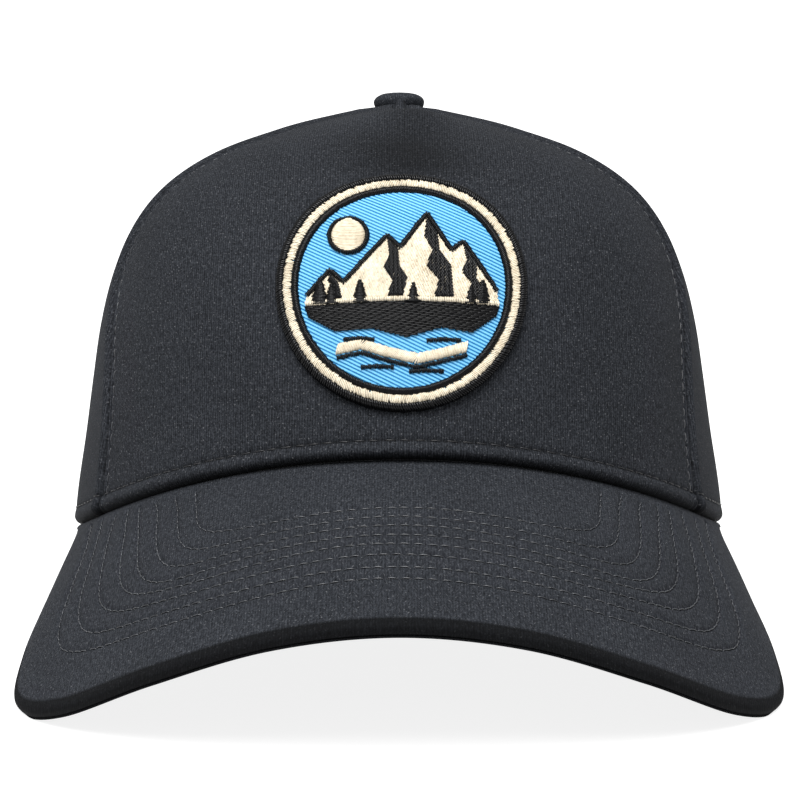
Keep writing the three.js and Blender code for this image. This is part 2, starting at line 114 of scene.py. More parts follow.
# The rows of a panel's mesh: above the hem, then evenly to the top.
HEM_ROWS = np.array([
    0, 0.12, 0.3, 0.6, 1.0, 1.4, 1.8, 2.2, 2.6, 3.0, 3.4, 3.8, 4.1, 4.4, 4.7, 5.0, 5.4, 6.0, 6.8, 7.8,
])
PANEL_ROWS = 128
EDGE_CROWDING = 0.5  # of its columns, towards the seams

# The peak's outer edge: turn of the hem point it starts from, side, forward, height.
PEAK_EDGE = np.array([
    [0, 0, 166.2, -15.3],
    [12, 27, 162.6, -18.4],
    [24, 53, 150.8, -26.9],
    [35, 74.7, 131.4, -36.0],
    [44, 86.2, 114, -37.0],
    [52, 87.8, 93, -29.3],
    [60, 85.9, 68, -19.4],
    [66, 81.8, 50, -10.4],
    [70, 78.0, 37, -2.4],
])
PEAK_SPINE = np.concatenate([PEAK_EDGE[1:2] * np.array([-1, -1, 1, 1]), PEAK_EDGE])
PEAK_HALF, PEAK_BULGE, PEAK_CLEARANCE = 1.7, 1.2, 0.2
PEAK_TUCK = 1.3  # how far inside the hem's outer face it starts
PEAK_HALF_WIDTH, PEAK_STRETCH = 88, 0.12  # how much wider the cloth's map gets to its sides
PEAK_COLUMNS, PEAK_TOP_ROWS, PEAK_UNDER_ROWS = 440, 132, 44
# The section of the peak's rim, out and up from the middle of the thickness: a bound edge
# with a small corner above, and a sewn groove near the bottom that leaves a thin lip.
PEAK_RIM = np.array([
    [0.3, 1.68], [0.7, 1.6], [1.05, 1.45], [1.32, 1.22], [1.48, 0.95], [1.56, 0.65], [1.56, 0.3],
    [1.52, 0], [1.48, -0.35], [1.42, -0.62], [1.25, -0.8], [1.0, -0.92], [0.95, -1.02],
    [1.1, -1.12], [1.4, -1.18], [1.53, -1.3], [1.5, -1.47], [1.3, -1.63], [0.9, -1.7], [0.45, -1.7],
])
RIM_CORNER = PEAK_TOP_ROWS + 4  # where the rim's painted shade is counted from
# The peak's rows of stitches from the crown outwards, each from the front centre round to the
# hem: places along the edge's table, and shares of the way from the hem to the edge.
PEAK_STITCH_ROWS = [
    ([0, 0.47, 0.85, 1.28, 1.65, 1.92, 2.1, 2.23, 2.38],
     [0.334, 0.337, 0.346, 0.357, 0.347, 0.318, 0.256, 0.15, 0.04]),
    ([0, 0.46, 0.92, 1.4, 1.73, 1.99, 2.2, 2.37, 2.54, 2.72],
     [0.392, 0.4, 0.414, 0.427, 0.427, 0.409, 0.355, 0.25, 0.125, 0.04]),
    ([0, 0.45, 0.91, 1.37, 1.76, 2.07, 2.31, 2.54, 2.88, 3.1],
     [0.452, 0.455, 0.468, 0.485, 0.494, 0.487, 0.447, 0.345, 0.126, 0.04]),
    ([0, 0.44, 0.89, 1.34, 1.72, 2.12, 2.41, 2.68, 3.06, 3.5],
     [0.513, 0.514, 0.523, 0.54, 0.553, 0.554, 0.521, 0.433, 0.22, 0.04]),
    ([0, 0.44, 0.87, 1.32, 1.79, 2.23, 2.61, 2.88, 3.1, 3.4, 3.85],
     [0.568, 0.57, 0.581, 0.596, 0.603, 0.592, 0.553, 0.478, 0.372, 0.21, 0.04]),
    ([0, 0.43, 0.85, 1.29, 1.75, 2.28, 2.7, 3.05, 3.3, 3.65, 4.3],
     [0.632, 0.635, 0.645, 0.657, 0.659, 0.65, 0.625, 0.566, 0.477, 0.31, 0.04]),
    ([0, 0.42, 0.84, 1.26, 1.72, 2.22, 2.74, 3.1, 3.4, 3.68, 4.15, 4.9],
     [0.705, 0.706, 0.715, 0.722, 0.722, 0.721, 0.71, 0.684, 0.62, 0.51, 0.28, 0.05]),
    ([0, 0.41, 0.82, 1.24, 1.68, 2.16, 2.74, 3.19, 3.56, 3.92, 4.22, 4.6, 5.5],
     [0.767, 0.769, 0.778, 0.787, 0.789, 0.789, 0.783, 0.77, 0.735, 0.63, 0.47, 0.3, 0.06]),
]

# Stitches: their distance from one to the next, and one stitch's section from end to end.
HEM_PITCH, SEAM_PITCH, ARCH_PITCH, PEAK_PITCH = 3.5, 3.1, 3.3, 2.95
STITCH_SHARE, PEAK_STITCH_SHARE = 0.76, 0.92  # of the pitch that shows thread
THREAD_RADIUS, THREAD_SIDES = 0.17, 5
STITCH_STEPS = np.array([0, 0.12, 0.35, 0.65, 0.88, 1.0])
STITCH_LIFT = np.array([-0.42, -0.05, 0.10, 0.10, -0.05, -0.42])
STITCH_SWELL = np.array([0.55, 0.95, 1.0, 1.0, 0.95, 0.55])
HOLE_DEPTH, HOLE_WIDTH = 0.36, 0.6
PEAK_HOLE_DEPTH, PEAK_HOLE_WIDTH = 0.5, 0.5
PEAK_STITCH_SUNK = 0.34

# The button: its washer and stem inside the crown, its foot, and its dome, which is widest at
# a height above the foot and rises, falls and rounds inwards from there.
WASHER_RADIUS, WASHER_THICK, WASHER_GAP, STEM_RADIUS = 5.2, 0.8, 0.3, 2.4
FOOT_SUNK, FOOT_INNER, FOOT_OUTER, FOOT_FALL = 0.15, 4.4, 5.6, 1.6
DOME_WIDEST, DOME_RISE, DOME_FALL, DOME_ROUNDING, DOME_FULLNESS = 1.0, 2.4, 1.9, 1.15, 0.62
PLEAT = 0.03

# The strap behind.
STRAP_HALF_WIDTH, STRAP_HALF_THICK, STRAP_HALF_TURN, STRAP_LIFT = 9.0, 0.8, 30, 4
STRAP_RIB, STRAP_RIB_HEIGHT, STRAP_GAP = 1.5, 0.05, 0.3


# Shapes in plain numbers

def curve(table, column, place):
    """The smooth curve through one column of a table, at places counted in rows."""
    values = table[:, column].astype(float)
    values = np.concatenate([[2 * values[0] - values[1]], values, [2 * values[-1] - values[-2]]])
    place = np.asarray(place, float)
    row = np.clip(np.floor(place).astype(int), 0, len(table) - 2)
    before, start, end, after = (values[row + k] for k in range(4))
    t = place - row
    bend = 2 * before - 5 * start + 4 * end - after
    twist = 3 * (start - end) + after - before
    return start + 0.5 * t * (end - before + t * (bend + t * twist))


def crown_height(place):
    return curve(CROWN, HEIGHT, place)


PLACES = np.linspace(0, TOP_PLACE, 4401)
PLACE_HEIGHTS = crown_height(PLACES)


def place_at(height):
    return np.interp(height, PLACE_HEIGHTS, PLACES)


def crown_radius(turn, place):
    reach = np.where(cos(turn) > 0, curve(CROWN, FRONT, place), curve(CROWN, BACK, place))
    power = curve(CROWN, SQUARENESS, place)
    across = np.abs(sin(turn) / curve(CROWN, SIDE, place)) ** power
    along = np.abs(cos(turn) / reach) ** power
    return (across + along) ** (-1 / power)


def round_point(radius, turn, height):
    """A point by its distance from the axis and its turn from the front."""
    return np.stack(np.broadcast_arrays(radius * sin(turn), -radius * cos(turn), height), -1)


def crown_point(turn, place):
    return round_point(crown_radius(turn, place), turn, crown_height(place))


def unit(vectors):
    return vectors / np.maximum(np.linalg.norm(vectors, axis=-1, keepdims=True), 1e-12)


def crown_normal(turn, place):
    step = 1e-3
    around = crown_point(turn + step, place) - crown_point(turn - step, place)
    up = crown_point(turn, place + step) - crown_point(turn, place - step)
    return unit(np.cross(around, up))


def hump(distance, width):
    return np.exp(-((distance / width) ** 2))


def bumps(distance, table):
    return sum(height * hump(distance - place, width) for height, place, width in table)


def rising(value, start, end):
    """From 0 at the start to 1 at the end, smoothly, also where the end is the lower one."""
    share = np.clip((value - start) / (end - start), 0, 1)
    return share * share * (3 - 2 * share)


def lengths_along(path):
    return np.concatenate([[0], np.cumsum(np.linalg.norm(np.diff(path, axis=0), axis=1))])


def points_at(at, length, path):
    """Points of a path, or values along it, at these lengths."""
    return np.stack([np.interp(at, length, path[:, k]) for k in range(path.shape[1])], -1)


def halved(low, high, stays_low):
    """Where a condition stops holding between two bounds, found by halving."""
    for _ in range(36):
        middle = (low + high) / 2
        below = stays_low(middle)
        low, high = np.where(below, middle, low), np.where(below, high, middle)
    return (low + high) / 2


def distance_to(points, targets):
    """From each point to the nearest target."""
    tree = kdtree.KDTree(len(targets))
    for k, target in enumerate(targets):
        tree.insert(Vector(target), k)
    tree.balance()
    flat = points.reshape(-1, 3)
    return np.array([tree.find(Vector(point))[2] for point in flat]).reshape(points.shape[:-1])


def there_and_back(there, back):
    """Closed sections from two rows of points that face each other."""
    return np.concatenate([there, back[:, ::-1]], 1)


def front_arch(turn):
    return FRONT_ARCH * np.abs(cos(turn)) ** FRONT_ARCH_SHARPNESS


def hem_edge(turn):
    """Height of the hem's edge, which the floor presses up behind."""
    facing = cos(turn)
    drawn = np.where(facing > 0, front_arch(turn), -BACK_DROP * facing ** 2)
    back = -crown_radius(turn, np.full(np.shape(turn), BACK_HEM_PLACE)) * facing
    floor = (REST_SURFACE + back * sin(REST_TILT)) / cos(REST_TILT)
    return np.maximum(drawn, floor)


def pressed(points):
    """Lifts what would be under the floor up to it, in the level cap's frame."""
    upright = np.array([0, -sin(REST_TILT), cos(REST_TILT)])
    below = np.maximum(0, REST_SURFACE - points @ upright)
    return points + below[..., None] * upright


def at_rest(points):
    x, y, z = points[..., 0], points[..., 1], points[..., 2]
    forward = y * cos(REST_TILT) + z * sin(REST_TILT)
    up = z * cos(REST_TILT) - y * sin(REST_TILT)
    return (np.stack([x, forward, up], -1) + REST_SHIFT) / 1000


def turn_at_side(side, place):
    """The turn in the back half of the crown where it reaches this far to the side."""
    low, high = np.full(np.shape(side), pi / 2), np.full(np.shape(side), pi)
    return halved(low, high, lambda turn: crown_radius(turn, place) * sin(turn) > side)


def arch_side(height):
    """Half the width of the back opening at a height."""
    rise = np.clip((height - ARCH_SHOULDER) / ARCH_RISE, 0, 1)
    return ARCH_HALF_WIDTH * np.sqrt(1 - rise ** 2)


def arch_outline(offset):
    """The left half of the opening's edge from the hem to its top, moved outwards."""
    angle = np.linspace(0, pi / 2, 240)
    across, up = ARCH_HALF_WIDTH * cos(angle), ARCH_RISE * sin(angle)
    outward = unit(np.stack([cos(angle) / ARCH_HALF_WIDTH, sin(angle) / ARCH_RISE], -1))
    bend = np.stack([across, ARCH_SHOULDER + up], -1) + offset * outward
    rise = np.linspace(-BACK_DROP, ARCH_SHOULDER, 60)[:-1]
    straight = np.stack([np.full(rise.shape, ARCH_HALF_WIDTH + offset), rise], -1)
    return np.concatenate([straight, bend])


# Meshes and threads

def make_mesh(name, points, face_groups, sharp=None, **maps):
    """A piece from points of the level cap, groups of equal-sided faces and its maps."""
    loops = np.concatenate([faces.ravel() for faces in face_groups])
    totals = np.concatenate([np.full(len(faces), faces.shape[1]) for faces in face_groups])
    mesh = bpy.data.meshes.new(name)
    mesh.vertices.add(len(points))
    mesh.vertices.foreach_set("co", at_rest(points).astype(np.float32).ravel())
    mesh.loops.add(len(loops))
    mesh.loops.foreach_set("vertex_index", loops.astype(np.int32))
    mesh.polygons.add(len(totals))
    mesh.polygons.foreach_set("loop_start", (np.cumsum(totals) - totals).astype(np.int32))
    mesh.polygons.foreach_set("use_smooth", np.ones(len(totals), bool))
    mesh.update(calc_edges=True)
    for map_name, uv in maps.items():
        layer = mesh.uv_layers.new(name=map_name)
        layer.uv.foreach_set("vector", uv.reshape(-1, 2)[loops].astype(np.float32).ravel())
    mesh.validate()
    if sharp is not None:
        mesh.set_sharp_from_angle(angle=math.radians(sharp))
    piece = bpy.data.objects.new(name, mesh)
    bpy.context.collection.objects.link(piece)
    return piece


def loft_faces(sections, count, ring=False):
    """Faces through sections of equally many points, whose ends are closed by strips."""
    here = np.arange(sections if ring else sections - 1)[:, None] * count
    beyond = (here + count) % (sections * count)
    k, after = np.arange(count), np.roll(np.arange(count), -1)
    faces = [np.stack([here + k, beyond + k, beyond + after, here + after], -1).reshape(-1, 4)]
    if not ring:
        k = np.arange(count // 2 - 1)
        last = (sections - 1) * count
        faces.append(np.stack([k, k + 1, count - 2 - k, count - 1 - k], -1))
        faces.append(last + np.stack([count - 1 - k, count - 2 - k, k + 1, k], -1))
    return np.concatenate(faces)


def facing_out(points, quads):
    """The faces, turned round if they enclose a negative volume."""
    a, b, c, d = (points[quads[:, k]] for k in range(4))
    volume = np.sum(a * np.cross(b, c)) + np.sum(a * np.cross(c, d))
    return quads if volume > 0 else quads[:, ::-1]


def loft(name, sections, ring=False, sharp=None, **maps):
    points = sections.reshape(-1, 3)
    faces = facing_out(points, loft_faces(*sections.shape[:2], ring))
    return make_mesh(name, points, [faces], sharp, **maps)


def tubes(lines, radii, normals):
    """Points and faces of closed round threads along lines of equally many points."""
    count, steps = lines.shape[:2]
    along = unit(np.gradient(lines, axis=1))
    across = unit(np.cross(along, normals))
    up = np.cross(across, along)
    side = np.arange(THREAD_SIDES)
    angle = (side / THREAD_SIDES * 2 * pi)[:, None]
    spread = across[:, :, None] * cos(angle) + up[:, :, None] * sin(angle)
    points = lines[:, :, None] + spread * np.broadcast_to(radii, (count, steps))[:, :, None, None]
    start = (np.arange(count) * steps * THREAD_SIDES)[:, None]
    ring = (start + np.arange(steps - 1) * THREAD_SIDES)[..., None]
    here, after = ring + side, ring + np.roll(side, -1)
    quads = np.stack([here, after, after + THREAD_SIDES, here + THREAD_SIDES], -1).reshape(-1, 4)
    first, last = start + side[::-1], start + (steps - 1) * THREAD_SIDES + side
    return points.reshape(-1, 3), quads, np.concatenate([first, last])


def thread_piece(name, bundles):
    """One piece from bundles of threads, each a set of lines, their radii and normals."""
    points, quads, caps, base = [], [], [], 0
    for bundle in bundles:
        some_points, some_quads, some_caps = tubes(*bundle)
        points.append(some_points)
        quads.append(some_quads + base)
        caps.append(some_caps + base)
        base += len(some_points)
    points, quads, caps = np.concatenate(points), np.concatenate(quads), np.concatenate(caps)
    if facing_out(points, quads) is not quads:
        quads, caps = quads[:, ::-1], caps[:, ::-1]
    return make_mesh(name, points, [quads, caps])


def stitch_row(path, normals, pitch, seed, share=STITCH_SHARE):
    """A row of stitches along a path on the cloth: the threads, and the needle holes."""
    random = np.random.default_rng(seed)
    length = lengths_along(path)
    count = max(1, int(length[-1] / pitch))
    pitch = length[-1] / count
    start = np.arange(count) * pitch + random.normal(0, 0.05, count) * pitch
    reach = pitch * share * random.uniform(0.92, 1.08, count)
    at = start[:, None] + pitch * (1 - share) / 2 + reach[:, None] * STITCH_STEPS
    at = np.clip(at, 0, length[-1])
    lines = points_at(at, length, path)
    ups = unit(points_at(at, length, normals))
    sideways = np.cross(unit(lines[:, -1] - lines[:, 0])[:, None], ups)
    slant = random.normal(0.07, 0.05, count)[:, None] * np.linspace(-1, 1, len(STITCH_STEPS))
    lines = lines + ups * STITCH_LIFT[:, None] + sideways * slant[..., None]
    radii = THREAD_RADIUS * STITCH_SWELL * random.uniform(0.88, 1.12, count)[:, None]
    return (lines, radii, ups), points_at(np.arange(count + 1) * pitch, length, path)


def pulled_in(points, normals, holes, depth, width):
    """Draws the cloth in around the needle holes."""
    return points - normals * (depth * hump(distance_to(points, holes), width))[..., None]


def slow_waves(across, up, seed):
    """A soft unevenness, 20 to 60 mm from crest to crest."""
    random = np.random.default_rng(seed)
    total = np.zeros(np.shape(across))
    count = 7
    for _ in range(count):
        wavelength = random.uniform(22, 60)
        angle = random.uniform(0, 2 * pi)
        phase = random.uniform(0, 2 * pi)
        total = total + sin(2 * pi * (across * cos(angle) + up * sin(angle)) / wavelength + phase)
    return total / count


# The crown

CENTRE_LINE = lengths_along(crown_point(0 * PLACES, PLACES))
BACK_EDGE_TURNS = np.where(PLACE_HEIGHTS < ARCH_TOP, turn_at_side(arch_side(PLACE_HEIGHTS), PLACES), pi)
MIRROR = np.array([-1.0, 1.0, 1.0])
# Where on the cloth the mirrored panels, the peak and the button are cut.
MIRRORED_CUT, PEAK_CUT, BUTTON_CUT = np.array([437.0, 211.0]), 900.0, 50.0


def front_seam(place):
    return np.radians(curve(CROWN, SEAM, place) + SEAM_FLARE * rising(crown_height(place), 12, -2))


def front_seam_right(place):
    return -front_seam(place)


def back_seam(place):
    return np.full(np.shape(place), BACK_SEAM)


def back_centre(place):
    return np.full(np.shape(place), pi)


def back_edge(place):
    """The back panel's edge: round the opening, then up the centre."""
    return np.interp(place, PLACES, BACK_EDGE_TURNS)


SEAMS = {
    "front": (front_seam_right, front_seam),
    "side": (front_seam, back_seam),
    "back": (back_seam, back_edge),
}


def front_relief(x, to_axis, to_hem):
    """The front panel's swellings and dart, and the folds where the cloth meets the button."""
    def swellings(table):
        return sum(
            height * hump(x - side, width) * hump(to_axis - out, length)
            for height, side, width, out, length in table
        )

    dart = bumps(np.abs(x - DART_SIDE), DART)
    dart = dart * np.clip(1 - to_axis / DART_LENGTH, 0, 1) * rising(to_axis, 8, 14)
    ripple = RIPPLE_HEIGHT * sin(x * RIPPLE_TURNS + 0.6) * hump(x - 2, 7) * hump(to_axis - 18, 8)
    lip = LIP_HEIGHT * hump(x, LIP_WIDTH) * rising(to_hem, 18, 4)
    return swellings(BROW) + dart + ripple + lip, swellings(BUTTON_FOLDS) * rising(to_axis, 7.0, 7.9)


def relief(turn, place, kind):
    """How far the outer face stands out of the smooth crown."""
    left, right = SEAMS[kind]
    radius = crown_radius(turn, place)
    point = crown_point(turn, place)
    x, z = point[..., 0], point[..., 2]
    to_hem = z - hem_edge(turn)
    left_gap, right_gap = radius * (turn - left(place)), radius * (right(place) - turn)
    if kind == "back":
        outline = arch_outline(0)
        to_arch = np.hypot(np.abs(x)[..., None] - outline[:, 0], z[..., None] - outline[:, 1])
        to_hem = np.minimum(to_hem, to_arch.min(-1))
        above_arch = rising(z, ARCH_TOP, ARCH_TOP + 3)
        far = 99
        right_gap = np.where(above_arch > 0, right_gap / np.maximum(above_arch, 1e-3), far)
    to_hem = np.maximum(to_hem, 0)
    clear = np.clip((radius - BUTTON_RADIUS) / BUTTON_RADIUS, 0, 1)
    rolled = sin(pi * np.minimum(to_hem / HEM_STITCH, 1)) ** 1.15
    under = np.maximum(HEM_ROUNDING - to_hem, 0)
    rounding = HEM_ROUNDING - np.sqrt(HEM_ROUNDING ** 2 - under ** 2)
    facing = 0.12 + 0.88 * np.abs(cos(turn)) ** 1.3
    hem = facing * (HEM_ROLL * rolled - HEM_PINCH * hump(to_hem - HEM_STITCH, 0.9)) - rounding
    seam = FURROW + (PLAIN_SEAM if kind == "side" else STITCHED_SEAM)
    sewn = sum(bumps(np.maximum(gap, 0), seam) for gap in (left_gap, right_gap))
    across = radius * (turn - (left(place) + right(place)) / 2)
    calm = rising(np.minimum(left_gap, right_gap), 0, 14) * rising(to_hem, 3, 17) * clear
    waves = WAVE_HEIGHT * slow_waves(across, z, WAVE_SEEDS[kind])
    by_button = 0
    if kind == "front":
        to_badge = np.hypot(x - BADGE_SIDE, (z - BADGE_HEIGHT) * 1.05)
        waves = waves * rising(to_badge, 31, 45)
        shaped, by_button = front_relief(x, radius, to_hem)
        sewn = sewn + shaped
    settled = TOP_SETTLES * rising(radius, 75, 45) * rising(radius, 5, 16)
    return np.maximum(hem + clear * sewn, THINNEST - WALL) + by_button + calm * waves - settled


def shadowed(point):
    """The painted shade in the soft hollow between the button and the badge, from 0 to 1."""
    x, z = point[..., 0], point[..., 2]
    middle = hump(x - 4.0, 6.0 + 7.5 * rising(z, 107, 93)) * rising(z, 110, 103)
    brow = hump(x - 1.0, 25) * rising(z, 102, 93)
    return (HOLLOW_SHADE * middle + BROW_SHADE * brow) * rising(z, 82, 90)


def outer_face(turn, place, kind):
    normal = crown_normal(turn, place)
    return crown_point(turn, place) + normal * relief(turn, place, kind)[..., None], normal


def panel_rows(kind, start):
    """The places up each column, close together at the hem and round the opening."""
    rise = crown_height(start + 0.5) - crown_height(start - 0.5)
    foot = start[:, None] + HEM_ROWS / rise[:, None]
    edge = foot[:, -1:]
    if kind != "back":
        share = np.linspace(0, 1, PANEL_ROWS + 1)[1:]
        return np.concatenate([foot, edge + (TOP_PLACE - edge) * share], 1)
    lower = edge + (place_at(ARCH_SHOULDER) - edge) * np.linspace(0, 1, 7)[1:]
    bend = place_at(ARCH_SHOULDER + ARCH_RISE * sin(np.linspace(0, pi / 2, 56)[1:]))
    above = place_at(ARCH_TOP + HEM_ROWS[1:])
    upper = above[-1] + (TOP_PLACE - above[-1]) * np.linspace(0, 1, 76)[1:]
    fixed = np.concatenate([bend, above, upper])
    return np.concatenate([foot, lower, np.broadcast_to(fixed, (len(start), len(fixed)))], 1)


def panel(name, kind, columns, mirror, holes):
    """A closed panel between two seams, drawn on the left and mirrored if asked."""
    left, right = SEAMS[kind]
    even = np.linspace(0, 1, columns + 1)
    share = even + EDGE_CROWDING * ((1 - cos(pi * even)) / 2 - even)

    def turn_of(place, gap=SEAM_GAP):
        each = share if place.ndim < 2 else share[:, None]
        edge = gap / 2 / crown_radius(left(place), place)
        return left(place) + edge + each * (right(place) - left(place) - 2 * edge)

    low, high = np.zeros(share.shape), np.full(share.shape, 6.0)
    start = halved(low, high, lambda place: crown_height(place) < hem_edge(turn_of(place)))
    place = panel_rows(kind, start)
    turn, inner_turn = turn_of(place), turn_of(place, -SEAM_LAP)
    outer, normal = outer_face(turn, place, kind)
    outer = pulled_in(outer, normal, holes, HOLE_DEPTH, HOLE_WIDTH)
    inner = crown_point(inner_turn, place) - crown_normal(inner_turn, place) * WALL
    sections = pressed(there_and_back(outer, inner))
    radius = crown_radius(turn, place)
    across = radius * (turn - (left(place) + right(place)) / 2)
    uv = np.stack([across, np.interp(place, PLACES, CENTRE_LINE)], -1)
    if mirror:
        sections = sections * MIRROR
        uv = uv * np.array([-1, 1]) + MIRRORED_CUT
    from_seam = radius * np.minimum(turn - left(place), right(place) - turn)
    to_hem = crown_height(place) - hem_edge(turn)
    # Painted shade on the shade map: darker in the seams' furrows, under the hem's edge and along the
    # hem's stitches.
    shade = 1 - SEAM_SHADE * hump(from_seam, SEAM_LINE)
    shade = shade * (1 - HEM_SHADE * hump(np.maximum(to_hem, 0), HEM_LINE))
    shade = shade * (1 - STITCH_SHADE * hump(to_hem - HEM_STITCH, STITCH_LINE))
    if kind == "front":
        shade = shade * (1 - shadowed(crown_point(turn, place)))
    shade = np.stack([shade, 0 * shade], -1)
    maps = {"cloth_mm": there_and_back(uv, uv), "shade": there_and_back(shade, shade)}
    return loft(name, sections, sharp=48, **maps)


def hem_path(kind):
    """A path above a panel's hem, from seam to seam or to the corner of the opening."""
    left, right = SEAMS[kind]
    place = place_at(hem_edge(0.7) + HEM_STITCH)
    margin = 0.012
    end, count = right(place) - margin, 500
    if kind == "back":
        end, count = turn_at_side(ARCH_HALF_WIDTH + HEM_STITCH, 0.4), 300
    turn = np.linspace(left(place) + margin, end, count)
    return turn, place_at(hem_edge(turn) + HEM_STITCH)


def arch_path():
    outline = arch_outline(HEM_STITCH)
    outline = outline[outline[:, 1] > hem_edge(pi - 0.4) + HEM_STITCH]
    place = place_at(outline[:, 1])
    turn = turn_at_side(outline[:, 0], place)
    return turn[turn < pi - 0.01], place[turn < pi - 0.01]


def seam_path(seam, gap, foot):
    """A path beside a seam from a height up to the button."""
    place = np.linspace(place_at(foot), TOP_PLACE - 0.72, 500)
    turn = seam(place) + gap / crown_radius(seam(place), place)
    return turn, place


def crown_rows():
    """The crown's rows of stitches on the left half: piece, panel, path, pitch and seed."""
    front_foot = hem_edge(front_seam(1.0)) + HEM_STITCH
    back_foot = hem_edge(BACK_SEAM) + HEM_STITCH
    rows = [("hem_stitches", kind, hem_path(kind), HEM_PITCH, 11 + k) for k, kind in enumerate(SEAMS)]
    for kind, seam, gap, foot, seed in (
        ("front", front_seam, -SEAM_STITCH, front_foot, 14),
        ("front", front_seam_right, SEAM_STITCH, front_foot, 15),
        ("back", back_seam, SEAM_STITCH, back_foot, 16),
        ("back", back_centre, -SEAM_STITCH, ARCH_TOP + HEM_STITCH, 17),
        ("side", front_seam, SIDE_STITCH, front_foot, 19),
    ):
        rows.append(("seam_stitches", kind, seam_path(seam, gap, foot), SEAM_PITCH, seed))
    rows.insert(-1, ("arch_stitches", "back", arch_path(), ARCH_PITCH, 18))
    return rows


def sew_crown():
    """The crown's stitches, and the holes that pull its panels in."""
    bundles, holes = {"hem_stitches": [], "seam_stitches": [], "arch_stitches": []}, []
    for name, kind, (turn, place), pitch, seed in crown_rows():
        path, normals = outer_face(turn, place, kind)
        for flip in ((False,) if kind == "front" else (False, True)):
            way = MIRROR if flip else np.ones(3)
            threads, pricks = stitch_row(path * way, normals * way, pitch, seed + 40 * flip)
            bundles[name].append(threads)
            holes.append(pricks)
    for name, threads in bundles.items():
        sew(name, threads, "hem_thread" if name == "hem_stitches" else "dark_thread")
    return np.concatenate(holes)


def crown():
    holes = sew_crown()
    dress(panel("front_cloth", "front", 230, False, holes), "cloth", "front_panel")
    for mirror, label in ((False, "left"), (True, "right")):
        for kind in ("side", "back"):
            piece = panel(f"{kind}_cloth_{label}", kind, 120, mirror, holes)
            dress(piece, "cloth", f"{kind}_panel_{label}")


# The peak

def peak_frame(place, share):
    """The peak's middle surface: a point, the ways outward and up from it, and its turn."""
    side = np.where(place < 0, -1.0, 1.0)
    place = np.abs(place) + 1
    turn = np.radians(curve(PEAK_SPINE, 0, place))
    hem = crown_point(turn, place_at(front_arch(turn))) - round_point(PEAK_TUCK, turn, 0)
    hem[..., 2] -= PEAK_CLEARANCE + PEAK_HALF
    tip = np.stack([curve(PEAK_SPINE, column, place) for column in (1, 2, 3)], -1) * np.array([1, -1, 1])
    reach = np.linalg.norm(tip - hem, axis=-1, keepdims=True)
    outward = (tip - hem) / reach
    around = np.stack([cos(turn), sin(turn), 0 * turn], -1)
    up = unit(np.cross(outward, around))
    share = np.asarray(share, float)[..., None]
    bulge = PEAK_BULGE * sin(pi * np.clip(share, 0, 1)) * np.minimum(1, reach / 60)
    middle = hem + outward * share * (reach - PEAK_HALF) + up * bulge
    level = np.array([0, 0, 1.0])
    up = unit(level + (up - level) * rising(share, 0, 0.07) * rising(reach, 0, 16))
    flip = np.stack(np.broadcast_arrays(side, 1.0, 1.0), -1)
    return middle * flip, outward * flip, up * flip, turn * side


def peak_row_path(row, way):
    """A row of stitches across the whole peak, smoothed, on its upper or lower face."""
    half = np.array(row, float).T
    knots = np.concatenate([half[:0:-1] * np.array([-1, 1]), half])
    fine = np.linspace(0, len(knots) - 1, 1600)
    middle, _, up, _ = peak_frame(curve(knots, 0, fine), curve(knots, 1, fine))
    path = middle + up * way * PEAK_HALF
    length = lengths_along(path)
    even = np.arange(0, length[-1], 0.4)
    return points_at(even, length, path), way * unit(points_at(even, length, up))


def peak_waves(points, way):
    return PEAK_WAVE_HEIGHT * slow_waves(points[..., 0], points[..., 1], 21 + way)


def peak_face(place, way, count):
    """The upper or lower face, sunk along its stitches, and the threads of those."""
    place, share = np.broadcast_arrays(place, np.linspace(0, 1, count))
    middle, _, up, _ = peak_frame(place, share)
    normals = up * way
    points = middle + normals * PEAK_HALF
    rows = [peak_row_path(row, way) for row in PEAK_STITCH_ROWS]
    channel = bumps(distance_to(points, np.concatenate([path for path, _ in rows])), PEAK_CHANNEL)
    waves = peak_waves(points, way) * rising(share, 0, 0.2) * rising(share, 1, 0.88)
    points = points + normals * (waves + channel * rising(share, 0, 0.05))[..., None]
    threads, holes = [], []
    for k, (path, out) in enumerate(rows):
        sunk = path + out * (peak_waves(path, way) - PEAK_STITCH_SUNK)[:, None]
        some, pricks = stitch_row(sunk, out, PEAK_PITCH, 100 + 10 * k + way, PEAK_STITCH_SHARE)
        threads.append(some)
        holes.append(pricks)
    return pulled_in(points, normals, np.concatenate(holes), PEAK_HOLE_DEPTH, PEAK_HOLE_WIDTH), threads


